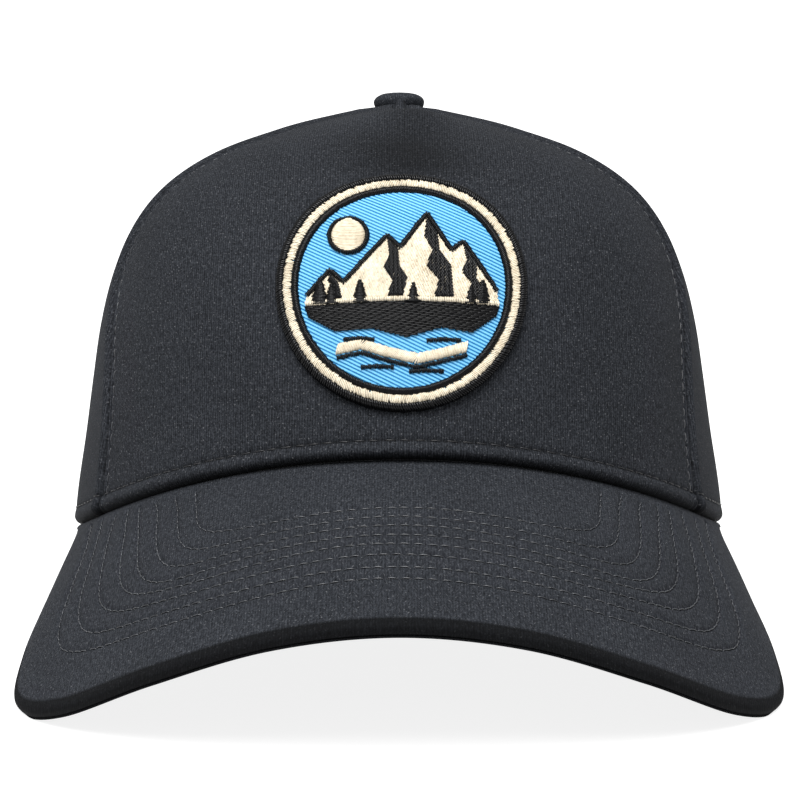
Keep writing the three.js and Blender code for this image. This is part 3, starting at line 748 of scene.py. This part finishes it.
def peak():
    edge = np.linspace(-8, 8, 3201)
    tip, _, _, _ = peak_frame(edge, np.ones(edge.shape))
    round_edge = lengths_along(tip)
    place = np.interp(np.linspace(0, round_edge[-1], PEAK_COLUMNS + 1), round_edge, edge)[:, None]
    upper, upper_threads = peak_face(place, 1, PEAK_TOP_ROWS)
    lower, lower_threads = peak_face(place, -1, PEAK_UNDER_ROWS)
    rim_place = np.broadcast_to(place, (len(place), len(PEAK_RIM)))
    middle, outward, up, _ = peak_frame(rim_place, np.ones(rim_place.shape))
    rim = middle + outward * PEAK_RIM[:, :1] + up * PEAK_RIM[:, 1:]
    tab, _, _, turn = peak_frame(place, np.zeros(place.shape))
    tab = tab - round_point(WALL - PEAK_TUCK, turn, 0)
    half = np.array([0, 0, PEAK_HALF])
    sections = pressed(np.concatenate([tab + half, upper, rim, lower[:, ::-1], tab - half], 1))
    length = np.cumsum(np.linalg.norm(np.diff(sections, axis=1, prepend=sections[:, :1]), axis=-1), axis=1)
    corner = length[:, RIM_CORNER:RIM_CORNER + 1] - length
    across = sections[..., 0] * (1 + PEAK_STRETCH * (sections[..., 0] / PEAK_HALF_WIDTH) ** 2)
    maps = {
        "cloth_mm": np.stack([across, sections[:, :1, 1] - length], -1) + PEAK_CUT,
        # Painted shade: a dark band round the rim from just above its corner, and lighter painted shade
        # over the whole underside.
        "shade": np.stack([0.5 + corner / 10, 0 * corner], -1),
    }
    dress(loft("peak_cloth", sections, sharp=60, **maps), "peak_cloth", "peak")
    sew("peak_stitches", upper_threads + lower_threads, "dark_thread")


# The button and the strap

def button():
    """The covered button: a washer inside, a stem through the crown, and a pleated dome."""
    top = CROWN[-1, HEIGHT]
    slope = (top - CROWN[-2, HEIGHT]) / (CROWN[-2, SIDE] - CROWN[-1, SIDE])
    seat, inside = top - FOOT_SUNK, top - WALL - WASHER_GAP
    angle = np.linspace(-1.1, pi / 2, 30)
    dome = BUTTON_RADIUS * cos(angle) ** DOME_FULLNESS
    rounded = BUTTON_RADIUS - DOME_ROUNDING + DOME_ROUNDING * cos(angle)
    radius = np.where(angle > 0, dome, rounded)
    rise = seat + DOME_WIDEST + np.where(angle > 0, DOME_RISE, DOME_FALL) * sin(angle)
    profile = np.array([
        (0, inside - WASHER_THICK),
        (WASHER_RADIUS, inside - WASHER_THICK - slope * WASHER_RADIUS),
        (WASHER_RADIUS, inside - slope * WASHER_RADIUS),
        (STEM_RADIUS, inside - slope * STEM_RADIUS),
        (STEM_RADIUS, seat),
        (FOOT_INNER, seat),
        (FOOT_OUTER, seat - slope * FOOT_FALL),
        *zip(radius, rise),
    ])[::-1]
    turns = np.linspace(0, 2 * pi, 97)[:-1, None]
    pleats = PLEAT * sin(turns * 11 + 0.7) + PLEAT * sin(turns * 17 + 2.1)
    out, up = profile[:, 0], profile[:, 1]
    out, up = (
        out * (1 + pleats * 0.35 * hump(up - seat - 0.9, 0.9)),
        up + 0.9 * pleats * hump(out - 5.0, 1.4) * (up > seat + 1),
    )
    sections = round_point(out, turns, up) + np.array([BUTTON_SIDE, 0, 0])
    points, count = sections.reshape(-1, 3), len(profile)
    faces = loft_faces(len(turns), count, ring=True).reshape(-1, count, 4)[:, :-1].reshape(-1, 4)
    first = np.arange(len(turns)) * count
    poles = [first[None, ::-1], (first + count - 1)[None, :]]
    quads = facing_out(points, faces)
    if quads is not faces:
        poles = [pole[:, ::-1] for pole in poles]
    uv = round_point(lengths_along(sections[0]), turns, 0)[..., :2] + BUTTON_CUT
    piece = make_mesh("button_cloth", points, [quads] + poles, 60, cloth_mm=uv)
    dress(piece, "button_cloth", "top_button")


def squared(value, power):
    return np.sign(value) * np.abs(value) ** power


def strap():
    """The plain strap across the opening, ribbed along its length."""
    turn = pi + np.radians(np.linspace(-STRAP_HALF_TURN, STRAP_HALF_TURN, 121))[:, None]
    angle = np.linspace(0, 2 * pi, 41)[:-1]
    across = STRAP_HALF_WIDTH * squared(cos(angle), 0.35)
    depth = STRAP_HALF_THICK * squared(sin(angle), 0.6)
    middle = STRAP_LIFT + STRAP_HALF_WIDTH - BACK_DROP * cos(turn) ** 2
    turn, place = np.broadcast_arrays(turn, place_at(middle + across))
    depth = depth + np.sign(depth) * STRAP_RIB_HEIGHT * cos(across * 2 * pi / STRAP_RIB)
    inward = WALL + STRAP_GAP + STRAP_HALF_THICK - depth
    points = crown_point(turn, place) - crown_normal(turn, place) * inward[:, None]
    uv = np.stack(np.broadcast_arrays((turn - pi) * 100, across), -1)
    dress(loft("strap_webbing", points, sharp=50, cloth_mm=uv), "webbing", "back_strap")


# The badge: places on it are to the side and up along the cloth from its centre, and above it

BADGE_LENGTH = float(np.interp(place_at(BADGE_HEIGHT), PLACES, CENTRE_LINE))
GROUND_FOOT, GROUND_TOP = 0.3, 1.3
GROUND_RADIUS = 27.5
TWILL_TILT, TWILL_PITCH, TWILL_RIDGE, TWILL_SUNK = math.radians(-26.5), 0.79, 0.16, 0.1
CREAM_RING, BLACK_RING = (25.75, 27.95), (24.2, 25.85)  # inner and outer radius
# The thick edge: the section of its core, and the way of a wrapped thread over it, as radius
# and height.
EDGE_CORE = np.array([
    [27.6, 0.3], [29.4, 0.3], [29.6, 0.8], [29.45, 1.4], [29.05, 1.85], [28.6, 2.05], [28.1, 1.9],
    [27.75, 1.45],
])
EDGE_WRAP = np.array([
    [27.5, 0.7], [27.65, 1.45], [28.05, 1.95], [28.6, 2.12], [29.15, 1.9], [29.5, 1.35], [29.62, 0.5],
])
EDGE_MIDDLE = 28.6, 0.9
EDGE_THREADS, EDGE_LEAN, EDGE_THREAD_RADIUS = 330, 0.045, 0.3
# Satin lies in single threads across a shape; a fill is rows of short stitches.
BADGE_THREAD_RADIUS = 0.2
SATIN_PITCH, FILL_PITCH = 0.4, 0.36
# How high each stitched layer reaches above the ground.
RISE = {
    "cream_ring": 0.62, "black_ring": 0.72, "sun": 0.75, "sun_rim": 0.8, "ridge": 0.95,
    "snow_line": 0.85, "stream": 0.6, "banks": 0.5,
}
SATIN_STEPS = np.array([0, 0.1, 0.32, 0.68, 0.9, 1.0])
SATIN_ARCH = np.array([0, 0.62, 1.0, 1.0, 0.62, 0])
FILL_STEPS = np.array([0, 0.08, 0.3, 0.7, 0.92, 1.0])
FILL_ARCH = np.array([0, 0.75, 1.0, 1.0, 0.75, 0]) * 0.2

RIDGE = [
    (-22.0, -2.6), (-16.6, 3.6), (-13.4, 0.6), (-3.4, 12.2), (-0.4, 9.0), (5.8, 17.8), (11.4, 8.4),
    (14.2, 10.6), (22.0, -1.6),
]
RIDGE_FOOT = [(22.2, -4.2), (11, -3.2), (0, -2.8), (-11, -3.2), (-22.2, -4.6)]
SHADES = [
    [(-16.6, 3.0), (-14.6, 0.4), (-13.8, -3.1), (-15.6, -3.3), (-15.9, -0.2), (-17.0, 1.0)],
    [(-3.4, 11.6), (-0.9, 8.6), (-0.6, 4.6), (1.2, 1.6), (0.2, -2.6), (-3.4, -2.7), (-2.2, 1.2),
     (-4.2, 4.2), (-2.9, 7.4)],
    [(5.8, 17.0), (8.2, 12.8), (8.6, 8.4), (11.2, 4.6), (11.8, -2.9), (7.4, -2.9), (8.4, 1.2),
     (5.6, 4.6), (7.0, 8.6), (5.2, 12.0)],
    [(14.2, 9.8), (17.4, 5.2), (17.0, 1.6), (19.6, -2.9), (15.2, -3.1), (15.8, 0.6), (13.8, 3.0),
     (14.9, 6.2)],
]
SNOW_LINE = [(-22.3, -4.5), (-11, -3.7), (0, -3.3), (11, -3.7), (22.3, -4.6)]
HILLS = [
    (-22.5, -5.0), (-15, -4.2), (-7, -4.0), (1, -3.8), (9, -4.0), (16, -4.4), (22.5, -5.2),
    (21.6, -7.6), (16, -11.4), (9, -10.2), (1, -12.4), (-7, -10.4), (-15, -11.2), (-21.4, -7.8),
]
STREAM = [(-15.0, -15.2), (-9.4, -14.0), (-3.2, -15.9), (3.4, -17.4), (9.6, -16.0), (15.0, -14.6)]
BANKS = [(-9.5, -2.0, -19.4), (1.5, 9.5, -20.4), (-13.5, -6.5, -12.9), (5.5, 13.5, -13.2)]
SUN_AT, SUN_RADIUS, SUN_RIM = np.array([-12.4, 12.4]), 4.2, 0.85
RIDGE_WIDTH, SNOW_LINE_WIDTH, STREAM_WIDTH, BANK_WIDTH = 1.15, 1.0, 2.3, 0.8
PINES = [
    (-18.9, -4.6, 6.4), (-16.2, -4.4, 4.6), (-9.6, -4.2, 5.4), (18.6, -4.6, 5.8), (15.9, -4.4, 4.2),
    (2.6, -4.0, 4.4),
]


def badge_place(across, up):
    place = np.interp(BADGE_LENGTH + up, CENTRE_LINE, PLACES)
    return (BADGE_SIDE + across) / curve(CROWN, FRONT, place), place


def badge_point(across, up, above):
    turn, place = badge_place(across, up)
    return crown_point(turn, place) + crown_normal(turn, place) * np.asarray(above)[..., None]


def badge_polar(radius, angle, above):
    return badge_point(radius * cos(angle), radius * sin(angle), above)


def border():
    """The thick edge: a core, wrapped in close threads that lean a little."""
    angle = np.linspace(0, 2 * pi, 181)[:-1][:, None]
    body = loft("badge_edge_core", badge_polar(EDGE_CORE[:, 0], angle, EDGE_CORE[:, 1]), ring=True)
    random = np.random.default_rng(31)
    turn = np.arange(EDGE_THREADS) / EDGE_THREADS * 2 * pi + random.normal(0, 0.0018, EDGE_THREADS)
    turn = turn[:, None] + np.linspace(-0.5, 0.5, len(EDGE_WRAP)) * EDGE_LEAN
    above = EDGE_WRAP[:, 1] + random.normal(0, 0.035, EDGE_THREADS)[:, None]
    lines = badge_polar(EDGE_WRAP[:, 0] + random.normal(0, 0.03, EDGE_THREADS)[:, None], turn, above)
    outward = unit(lines - badge_polar(EDGE_MIDDLE[0], turn, EDGE_MIDDLE[1]))
    radii = EDGE_THREAD_RADIUS * random.uniform(0.9, 1.1, EDGE_THREADS)[:, None]
    thread = thread_piece("badge_edge_threads", [(lines, radii, outward)])
    dress(join("badge_edge", [body, thread]), "black_thread", "badge_border")


def ground():
    """The twill ground, its lines falling a little to the right."""
    across = np.linspace(-GROUND_RADIUS + 0.02, GROUND_RADIUS - 0.02, 620)[:, None]
    along = np.sqrt(GROUND_RADIUS ** 2 - across ** 2) * np.linspace(-1, 1, 36)
    x = along * cos(TWILL_TILT) - across * sin(TWILL_TILT)
    y = along * sin(TWILL_TILT) + across * cos(TWILL_TILT)
    ridge = TWILL_RIDGE * np.sqrt(np.abs(cos(pi * across / TWILL_PITCH))) - TWILL_SUNK
    sections = there_and_back(badge_point(x, y, GROUND_TOP + ridge), badge_point(x, y, GROUND_FOOT))
    uv = np.stack(np.broadcast_arrays(across + TWILL_PITCH / 2, along), -1)
    piece = loft("badge_twill", sections, sharp=50, cloth_mm=there_and_back(uv, uv))
    dress(piece, "blue_twill", "badge_ground")


def laid(starts, ends, steps, above, radii):
    """Threads from starts to ends at these heights: their lines, radii and normals."""
    at = starts[:, None] + (ends - starts)[:, None] * steps[:, None]
    across, up = at[..., 0], at[..., 1]
    return badge_point(across, up, above), radii, crown_normal(*badge_place(across, up))


def satin(starts, ends, low, high, seed, wobble):
    """Threads laid side by side across a narrow shape, arched over its middle."""
    random = np.random.default_rng(seed)
    count = len(starts)
    way = unit(ends - starts)
    starts = starts + way * random.normal(0, wobble, count)[:, None]
    ends = ends + way * random.normal(0, wobble, count)[:, None]
    above = low + SATIN_ARCH * ((high - low) * random.uniform(0.9, 1.05, count))[:, None]
    radii = BADGE_THREAD_RADIUS * random.uniform(0.88, 1.12, count)[:, None]
    return laid(starts, ends, SATIN_STEPS, above, radii)


def ring_of_satin(inner, outer, high, seed, lean, wobble):
    middle = (inner + outer) / 2
    count = int(2 * pi * middle / SATIN_PITCH)
    angle = np.arange(count) / count * 2 * pi
    shift = lean / middle
    starts = inner * np.stack([cos(angle - shift), sin(angle - shift)], -1)
    ends = outer * np.stack([cos(angle + shift), sin(angle + shift)], -1)
    return satin(starts, ends, GROUND_TOP - 0.1, high, seed, wobble)


def along_line(points, width, low, high, seed, slant=0.0):
    """Satin stitches across a drawn line."""
    points = np.array(points, float)
    fine = np.linspace(0, len(points) - 1, 60 * (len(points) - 1) + 1)
    line = points_at(fine, np.arange(len(points)), points)
    length = lengths_along(line)
    at = np.arange(SATIN_PITCH / 2, length[-1], SATIN_PITCH)
    way = unit(points_at(at + 0.4, length, line) - points_at(at - 0.4, length, line))
    across = (np.stack([-way[:, 1], way[:, 0]], -1) + slant * way) * width / 2
    centre = points_at(at, length, line)
    return satin(centre - across, centre + across, low, high, seed, 0.07)


def filled(outline, angle, low, seed, length=3.1):
    """Rows of flat stitches that fill an outline, laid like bricks."""
    random = np.random.default_rng(seed)
    turn = math.radians(angle)
    spin = np.array([[cos(turn), sin(turn)], [-sin(turn), cos(turn)]])
    corners = np.array(outline, float) @ spin.T
    following = np.roll(corners, -1, axis=0)
    stitches = []
    rows = np.arange(corners[:, 1].min() + FILL_PITCH / 2, corners[:, 1].max(), FILL_PITCH)
    for k, row in enumerate(rows):
        crosses = (corners[:, 1] <= row) != (following[:, 1] <= row)
        a, b = corners[crosses], following[crosses]
        hits = np.sort(a[:, 0] + (row - a[:, 1]) / (b[:, 1] - a[:, 1]) * (b[:, 0] - a[:, 0]))
        for start, end in zip(hits[::2], hits[1::2]):
            offset = (k % 3) / 3 * length + random.uniform(-0.2, 0.2)
            first = math.floor(start / length) * length + offset - length
            cuts = np.arange(first, end + length, length)
            cuts = cuts[(cuts > start + 0.5) & (cuts < end - 0.5)]
            cuts = np.concatenate([[start], cuts, [end]])
            stitches += [[[s - 0.06, row], [e + 0.06, row]] for s, e in zip(cuts[:-1], cuts[1:])]
    ends = np.array(stitches) @ spin
    above = low + FILL_ARCH + random.normal(0, 0.02, len(ends))[:, None]
    radii = BADGE_THREAD_RADIUS * random.uniform(0.9, 1.1, len(ends))[:, None]
    return laid(ends[:, 0], ends[:, 1], FILL_STEPS, above, radii)


def pine(across, foot, tall):
    """The stitches of one pine: three tiers of satin that widen downwards."""
    bundles = []
    for tier in range(3):
        top = foot + tall * (1 - tier * 0.27)
        low = top - tall * 0.42
        ups = np.arange(low, top, 0.36)
        half = (0.25 + (top - ups) / (top - low) * (0.75 + 0.45 * tier)) * tall / 5
        starts = np.stack([across - half, ups - 0.15], -1)
        ends = np.stack([across + half, ups - 0.15], -1)
        high = GROUND_TOP + 0.85 + 0.05 * tier
        bundles.append(satin(starts, ends, GROUND_TOP + 0.45, high, 70 + tier, 0.08))
    return bundles


def ring():
    cream = ring_of_satin(*CREAM_RING, GROUND_TOP + RISE["cream_ring"], 41, 0.25, 0.2)
    sew("badge_cream_ring", [cream], "cream_thread", "badge_ring")
    black = ring_of_satin(*BLACK_RING, GROUND_TOP + RISE["black_ring"], 42, 0.5, 0.06)
    sew("badge_black_ring", [black], "black_thread")


def sun():
    ups = np.arange(-SUN_RADIUS + 0.2, SUN_RADIUS, 0.38)
    half = np.sqrt(SUN_RADIUS ** 2 - ups ** 2)
    starts, ends = (SUN_AT + np.stack([way * half, ups], -1) for way in (-1, 1))
    disc = satin(starts, ends, GROUND_TOP, GROUND_TOP + RISE["sun"], 51, 0.06)
    sew("badge_sun_threads", [disc], "cream_thread", "badge_sun")
    angle = np.linspace(0, 2 * pi, 33)
    rim = SUN_AT + (SUN_RADIUS + 0.25) * np.stack([cos(angle), sin(angle)], -1)
    edge = along_line(rim, SUN_RIM, GROUND_TOP, GROUND_TOP + RISE["sun_rim"], 52)
    sew("badge_sun_rim", [edge], "black_thread")


def mountains():
    snow = filled(RIDGE + RIDGE_FOOT, 74, GROUND_TOP + 0.25, 61)
    sew("badge_snow", [snow], "cream_thread", "badge_peaks")
    shades = [filled(shade, 66, GROUND_TOP + 0.46, 62 + k, 2.4) for k, shade in enumerate(SHADES)]
    ridge_line = along_line(RIDGE, RIDGE_WIDTH, GROUND_TOP + 0.1, GROUND_TOP + RISE["ridge"], 66)
    sew("badge_rock", shades + [ridge_line], "black_thread")


def hills():
    slopes = filled(HILLS, 4, GROUND_TOP + 0.25, 67, 2.8)
    trees = [stitches for place in PINES for stitches in pine(*place)]
    sew("badge_forest", [slopes] + trees, "black_thread", "badge_hills")
    high = GROUND_TOP + RISE["snow_line"]
    snow_line = along_line(SNOW_LINE, SNOW_LINE_WIDTH, GROUND_TOP + 0.1, high, 68)
    sew("badge_snow_line", [snow_line], "cream_thread")


def stream():
    wide = along_line(STREAM, STREAM_WIDTH, GROUND_TOP, GROUND_TOP + RISE["stream"], 71, slant=0.5)
    sew("badge_stream", [wide], "cream_thread", "badge_trail")
    lines = [([(across, up - 2.0) for across, up in STREAM], 72)]
    lines += [([(start, up), ((start + end) / 2, up + 0.3), (end, up)], 73) for start, end, up in BANKS]
    high = GROUND_TOP + RISE["banks"]
    banks = [along_line(line, BANK_WIDTH, GROUND_TOP, high, seed) for line, seed in lines]
    sew("badge_banks", banks, "black_thread")


def badge():
    border()
    ground()
    ring()
    sun()
    mountains()
    hills()
    stream()


# The finishes

CLOTH_RIB, WEBBING_RIB = 0.62, 1.1  # from one rib to the next
CLOTH_COLOURS = [
    (0.15, (0.0026, 0.0029, 0.0037)), (0.5, (0.0122, 0.0136, 0.0166)), (0.85, (0.0340, 0.0370, 0.0430)),
]
LINT_COLOUR = (0.064, 0.066, 0.071)
TWILL_COLOURS = [
    (0.22, (0.010, 0.105, 0.255)), (0.5, (0.060, 0.29, 0.53)), (0.8, (0.17, 0.43, 0.68)),
]


def set_input(tree, socket, value):
    """Sets a socket, or links it where the value is another node's output."""
    if isinstance(value, bpy.types.NodeSocket):
        tree.links.new(value, socket)
    elif isinstance(value, tuple) and socket.type == "RGBA":
        socket.default_value = (*value, 1)
    else:
        socket.default_value = value


def add_node(tree, kind, inputs, **settings):
    node = tree.nodes.new(kind)
    for name, value in settings.items():
        setattr(node, name, value)
    for name, value in inputs.items():
        set_input(tree, node.inputs[name], value)
    return node


def new_material(name, colour, roughness, specular):
    material = bpy.data.materials.new(name)
    material.use_nodes = True
    shader = material.node_tree.nodes["Principled BSDF"]
    values = {"Base Color": colour, "Roughness": roughness, "Specular IOR Level": specular}
    for socket, value in values.items():
        set_input(material.node_tree, shader.inputs[socket], value)
    return material, material.node_tree, shader


def uv_map(tree, name):
    return add_node(tree, "ShaderNodeUVMap", {}, uv_map=name).outputs["UV"]


def scaled(tree, source, scale):
    return add_node(tree, "ShaderNodeMapping", {"Scale": scale, "Vector": source}).outputs["Vector"]


def noise(tree, vector, scale, detail=2.0, roughness=0.5):
    inputs = {"Scale": scale, "Detail": detail, "Roughness": roughness, "Vector": vector}
    return add_node(tree, "ShaderNodeTexNoise", inputs).outputs["Fac"]


def ribs_of(tree, vector, pitch, distortion):
    """Fine ribs across the map's first direction, this many millimetres apart."""
    inputs = {
        "Scale": 0.31416 / pitch, "Distortion": distortion, "Detail": 2.0, "Detail Scale": 1.4,
        "Vector": vector,
    }
    settings = {"wave_type": "BANDS", "bands_direction": "X"}
    return add_node(tree, "ShaderNodeTexWave", inputs, **settings).outputs["Fac"]


def ramp(tree, value, stops):
    """A colour, or a grey from 0 to 1, by a value and its stops."""
    node = add_node(tree, "ShaderNodeValToRGB", {"Fac": value})
    elements = node.color_ramp.elements
    while len(elements) < len(stops):
        elements.new(0.5)
    for element, (position, colour) in zip(elements, stops):
        element.position = position
        element.color = (*colour, 1) if isinstance(colour, tuple) else (colour, colour, colour, 1)
    return node.outputs["Color"]


def maths(tree, operation, a, b):
    return add_node(tree, "ShaderNodeMath", {0: a, 1: b}, operation=operation).outputs[0]


def weighted(tree, *parts):
    """The sum of values, each times its weight."""
    total, *others = (maths(tree, "MULTIPLY", value, weight) for value, weight in parts)
    for other in others:
        total = maths(tree, "ADD", total, other)
    return total


def mixed(tree, blend, factor, a, b):
    inputs = {0: factor, 6: a, 7: b}
    settings = {"data_type": "RGBA", "blend_type": blend}
    return add_node(tree, "ShaderNodeMix", inputs, **settings).outputs[2]


def finished(tree, shader, colour, height, distance, strength):
    """Gives the shader its colour, and a bump from a height."""
    tree.links.new(colour, shader.inputs["Base Color"])
    inputs = {"Distance": distance, "Strength": strength, "Height": height}
    bump = add_node(tree, "ShaderNodeBump", inputs)
    tree.links.new(bump.outputs["Normal"], shader.inputs["Normal"])


def cloth_material(name, shades, ribbed, uneven, darker=()):
    """Ribbed cotton with uneven threads and a little lint, between two soft shades."""
    material, tree, shader = new_material(name, (0.02, 0.021, 0.024), 0.9, 0.08)
    source = uv_map(tree, "cloth_mm")
    ribs = ribs_of(tree, source, CLOTH_RIB, 2.0)
    streaks = noise(tree, scaled(tree, source, (1.5, 0.5, 1)), 1.0, 3.0, 0.65)
    grain = noise(tree, scaled(tree, source, (2.0, 1.8, 1)), 1.0, 2.0, 0.75)
    clouds = noise(tree, source, 0.05, 3.0)
    lint = noise(tree, scaled(tree, source, (2.2, 2.0, 1)), 1.0, 0.0)
    tone = weighted(tree, (ribs, ribbed), (streaks, 0.8), (grain, uneven))
    tone = maths(tree, "SUBTRACT", tone, (uneven + ribbed) / 2 - 0.1)
    shade = ramp(tree, clouds, [(0.3, shades[0]), (0.7, shades[1])])
    colour = mixed(tree, "MULTIPLY", 1.0, ramp(tree, tone, CLOTH_COLOURS), shade)
    colour = mixed(tree, "MIX", ramp(tree, lint, [(0.70, 0), (0.80, 1)]), colour, LINT_COLOUR)
    # Painted shade, by the piece's shade map.
    if darker:
        parts = add_node(tree, "ShaderNodeSeparateXYZ", {"Vector": uv_map(tree, "shade")})
        colour = mixed(tree, "MULTIPLY", 1.0, colour, ramp(tree, parts.outputs["X"], darker))
    tree.links.new(ramp(tree, grain, [(0.3, 0.8), (0.7, 0.95)]), shader.inputs["Roughness"])
    height = weighted(tree, (ribs, 2 * ribbed), (grain, 0.8))
    finished(tree, shader, colour, height, 0.00013, 0.8)
    return material


def webbing_material():
    material, tree, shader = new_material("webbing", (0.016, 0.016, 0.018), 0.8, 0.15)
    source = uv_map(tree, "cloth_mm")
    tone = weighted(tree, (ribs_of(tree, source, WEBBING_RIB, 0.6), 0.5), (noise(tree, source, 2.4), 0.5))
    colour = ramp(tree, tone, [(0.3, (0.006, 0.0062, 0.0075)), (0.75, (0.026, 0.0265, 0.030))])
    finished(tree, shader, colour, tone, 0.0002, 0.8)
    return material


def thread_material(name, dark, light, roughness, specular):
    """Thread, with its colour a little uneven and fine plies in its gloss."""
    material, tree, shader = new_material(name, light, roughness, specular)
    place = add_node(tree, "ShaderNodeTexCoord", {}).outputs["Object"]
    strands = noise(tree, place, 900.0, 3.0, 0.6)
    tone = weighted(tree, (strands, 0.6), (noise(tree, place, 160.0), 0.4))
    colour = ramp(tree, tone, [(0.32, dark), (0.62, light)])
    finished(tree, shader, colour, strands, 0.00008, 0.5)
    return material


def twill_material():
    material, tree, shader = new_material("blue_twill", (0.03, 0.17, 0.36), 0.65, 0.2)
    source = uv_map(tree, "cloth_mm")
    yarns = noise(tree, scaled(tree, source, (1.6, 2.6, 1)), 1.0, 3.0, 0.6)
    tone = weighted(tree, (ribs_of(tree, source, TWILL_PITCH, 0.25), 0.6), (yarns, 0.4))
    finished(tree, shader, ramp(tree, tone, TWILL_COLOURS), tone, 0.00008, 0.6)
    return material


# A thread's darker and lighter colour, roughness and gloss.
THREADS = {
    "dark_thread": ((0.012, 0.0128, 0.0148), (0.036, 0.0385, 0.044), 0.38, 0.45),
    "hem_thread": ((0.003, 0.003, 0.0037), (0.011, 0.0114, 0.0133), 0.45, 0.35),
    "black_thread": ((0.0008, 0.0008, 0.0010), (0.0022, 0.0022, 0.0027), 0.3, 0.2),
    "cream_thread": ((0.44, 0.375, 0.27), (0.70, 0.63, 0.50), 0.5, 0.3),
}
# How dark the painted shade on the shade map makes the crown's cloth, and the band of painted shade along
# the peak's rim, with lighter painted shade under the peak.
CROWN_SHADE = [(0, 0), (1, 1)]
RIM_SHADE = [(0.05, 0.6), (0.17, 0.17), (0.74, 0.17), (0.84, 1)]
MATERIALS = {
    "cloth": cloth_material("cloth", (0.9, 1.1), 0.2, 1.2, CROWN_SHADE),
    "peak_cloth": cloth_material("peak_cloth", (1.0, 1.2), 0.12, 1.1, RIM_SHADE),
    "button_cloth": cloth_material("button_cloth", (1.15, 1.3), 0.15, 0.9),
    "webbing": webbing_material(),
    "blue_twill": twill_material(),
}
MATERIALS.update({name: thread_material(name, *values) for name, values in THREADS.items()})


def dress(piece, finish, *nodes):
    """Gives a piece its finish and its body, and hides the parts of the nodes that it stands for."""
    piece.data.materials.clear()
    piece.data.materials.append(MATERIALS[finish])
    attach(piece, "root")
    if nodes:
        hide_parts(*nodes)


def sew(name, bundles, finish, *nodes):
    dress(thread_piece(name, bundles), finish, *nodes)


def join(name, pieces):
    """One piece from several meshes."""
    bpy.ops.object.select_all(action="DESELECT")
    for piece in pieces:
        piece.select_set(True)
    bpy.context.view_layer.objects.active = pieces[0]
    bpy.ops.object.join()
    pieces[0].name = name
    return pieces[0]


# Floor, light and camera

FLOOR_HALF = 60.0
PICTURE_WIDTH, FOCAL_LENGTH, SENSOR_WIDTH = 800, 2588, 36.0  # two in pixels, one in mm
EYE = np.array([0.45, -700.0, 32.6])
EYE_ROLL = math.radians(-0.2)
FLOOR_GLOW, ROOM_LIGHT, TOP_LIGHT = 0.85, 0.54, 6.15
TOP_LIGHT_FROM, TOP_LIGHT_SPREAD = (-0.13, -0.46, 1.0), math.radians(45)


def stage():
    corners = [(x * FLOOR_HALF, y * FLOOR_HALF, 0) for x, y in ((-1, -1), (1, -1), (1, 1), (-1, 1))]
    mesh = bpy.data.meshes.new("floor")
    mesh.from_pydata(corners, [], [(0, 1, 2, 3)])
    floor = bpy.data.objects.new("floor", mesh)
    bpy.context.collection.objects.link(floor)
    material, _, shader = new_material("floor", (0.30, 0.30, 0.30), 0.9, 0.0)
    shader.inputs["Emission Color"].default_value = (1, 1, 1, 1)
    shader.inputs["Emission Strength"].default_value = FLOOR_GLOW
    floor.data.materials.append(material)


def lights():
    """A bright room, and a soft overhead light that is even over the whole floor."""
    world = bpy.data.worlds.new("studio")
    world.use_nodes = True
    background = world.node_tree.nodes["Background"]
    background.inputs["Color"].default_value = (1, 1, 1, 1)
    background.inputs["Strength"].default_value = ROOM_LIGHT
    bpy.context.scene.world = world
    data = bpy.data.lights.new("top_light", "SUN")
    data.energy = TOP_LIGHT
    data.angle = TOP_LIGHT_SPREAD
    light = bpy.data.objects.new("top_light", data)
    bpy.context.collection.objects.link(light)
    light.rotation_mode = "QUATERNION"
    light.rotation_quaternion = Vector(TOP_LIGHT_FROM).to_track_quat("Z", "Y")


def camera():
    data = bpy.data.cameras.new("camera")
    data.sensor_width = SENSOR_WIDTH
    data.lens = FOCAL_LENGTH / PICTURE_WIDTH * SENSOR_WIDTH
    data.clip_start, data.clip_end = 0.01, 50
    eye = bpy.data.objects.new("camera", data)
    bpy.context.collection.objects.link(eye)
    eye.location = at_rest(EYE)
    eye.rotation_euler = (pi / 2 - REST_TILT, 0, 0)
    eye.rotation_euler.rotate_axis("Z", EYE_ROLL)
    bpy.context.scene.camera = eye


bpy.context.scene.view_settings.view_transform = "Standard"
stage()
lights()
camera()
crown()
peak()
button()
strap()
badge()
bpy.context.view_layer.update()
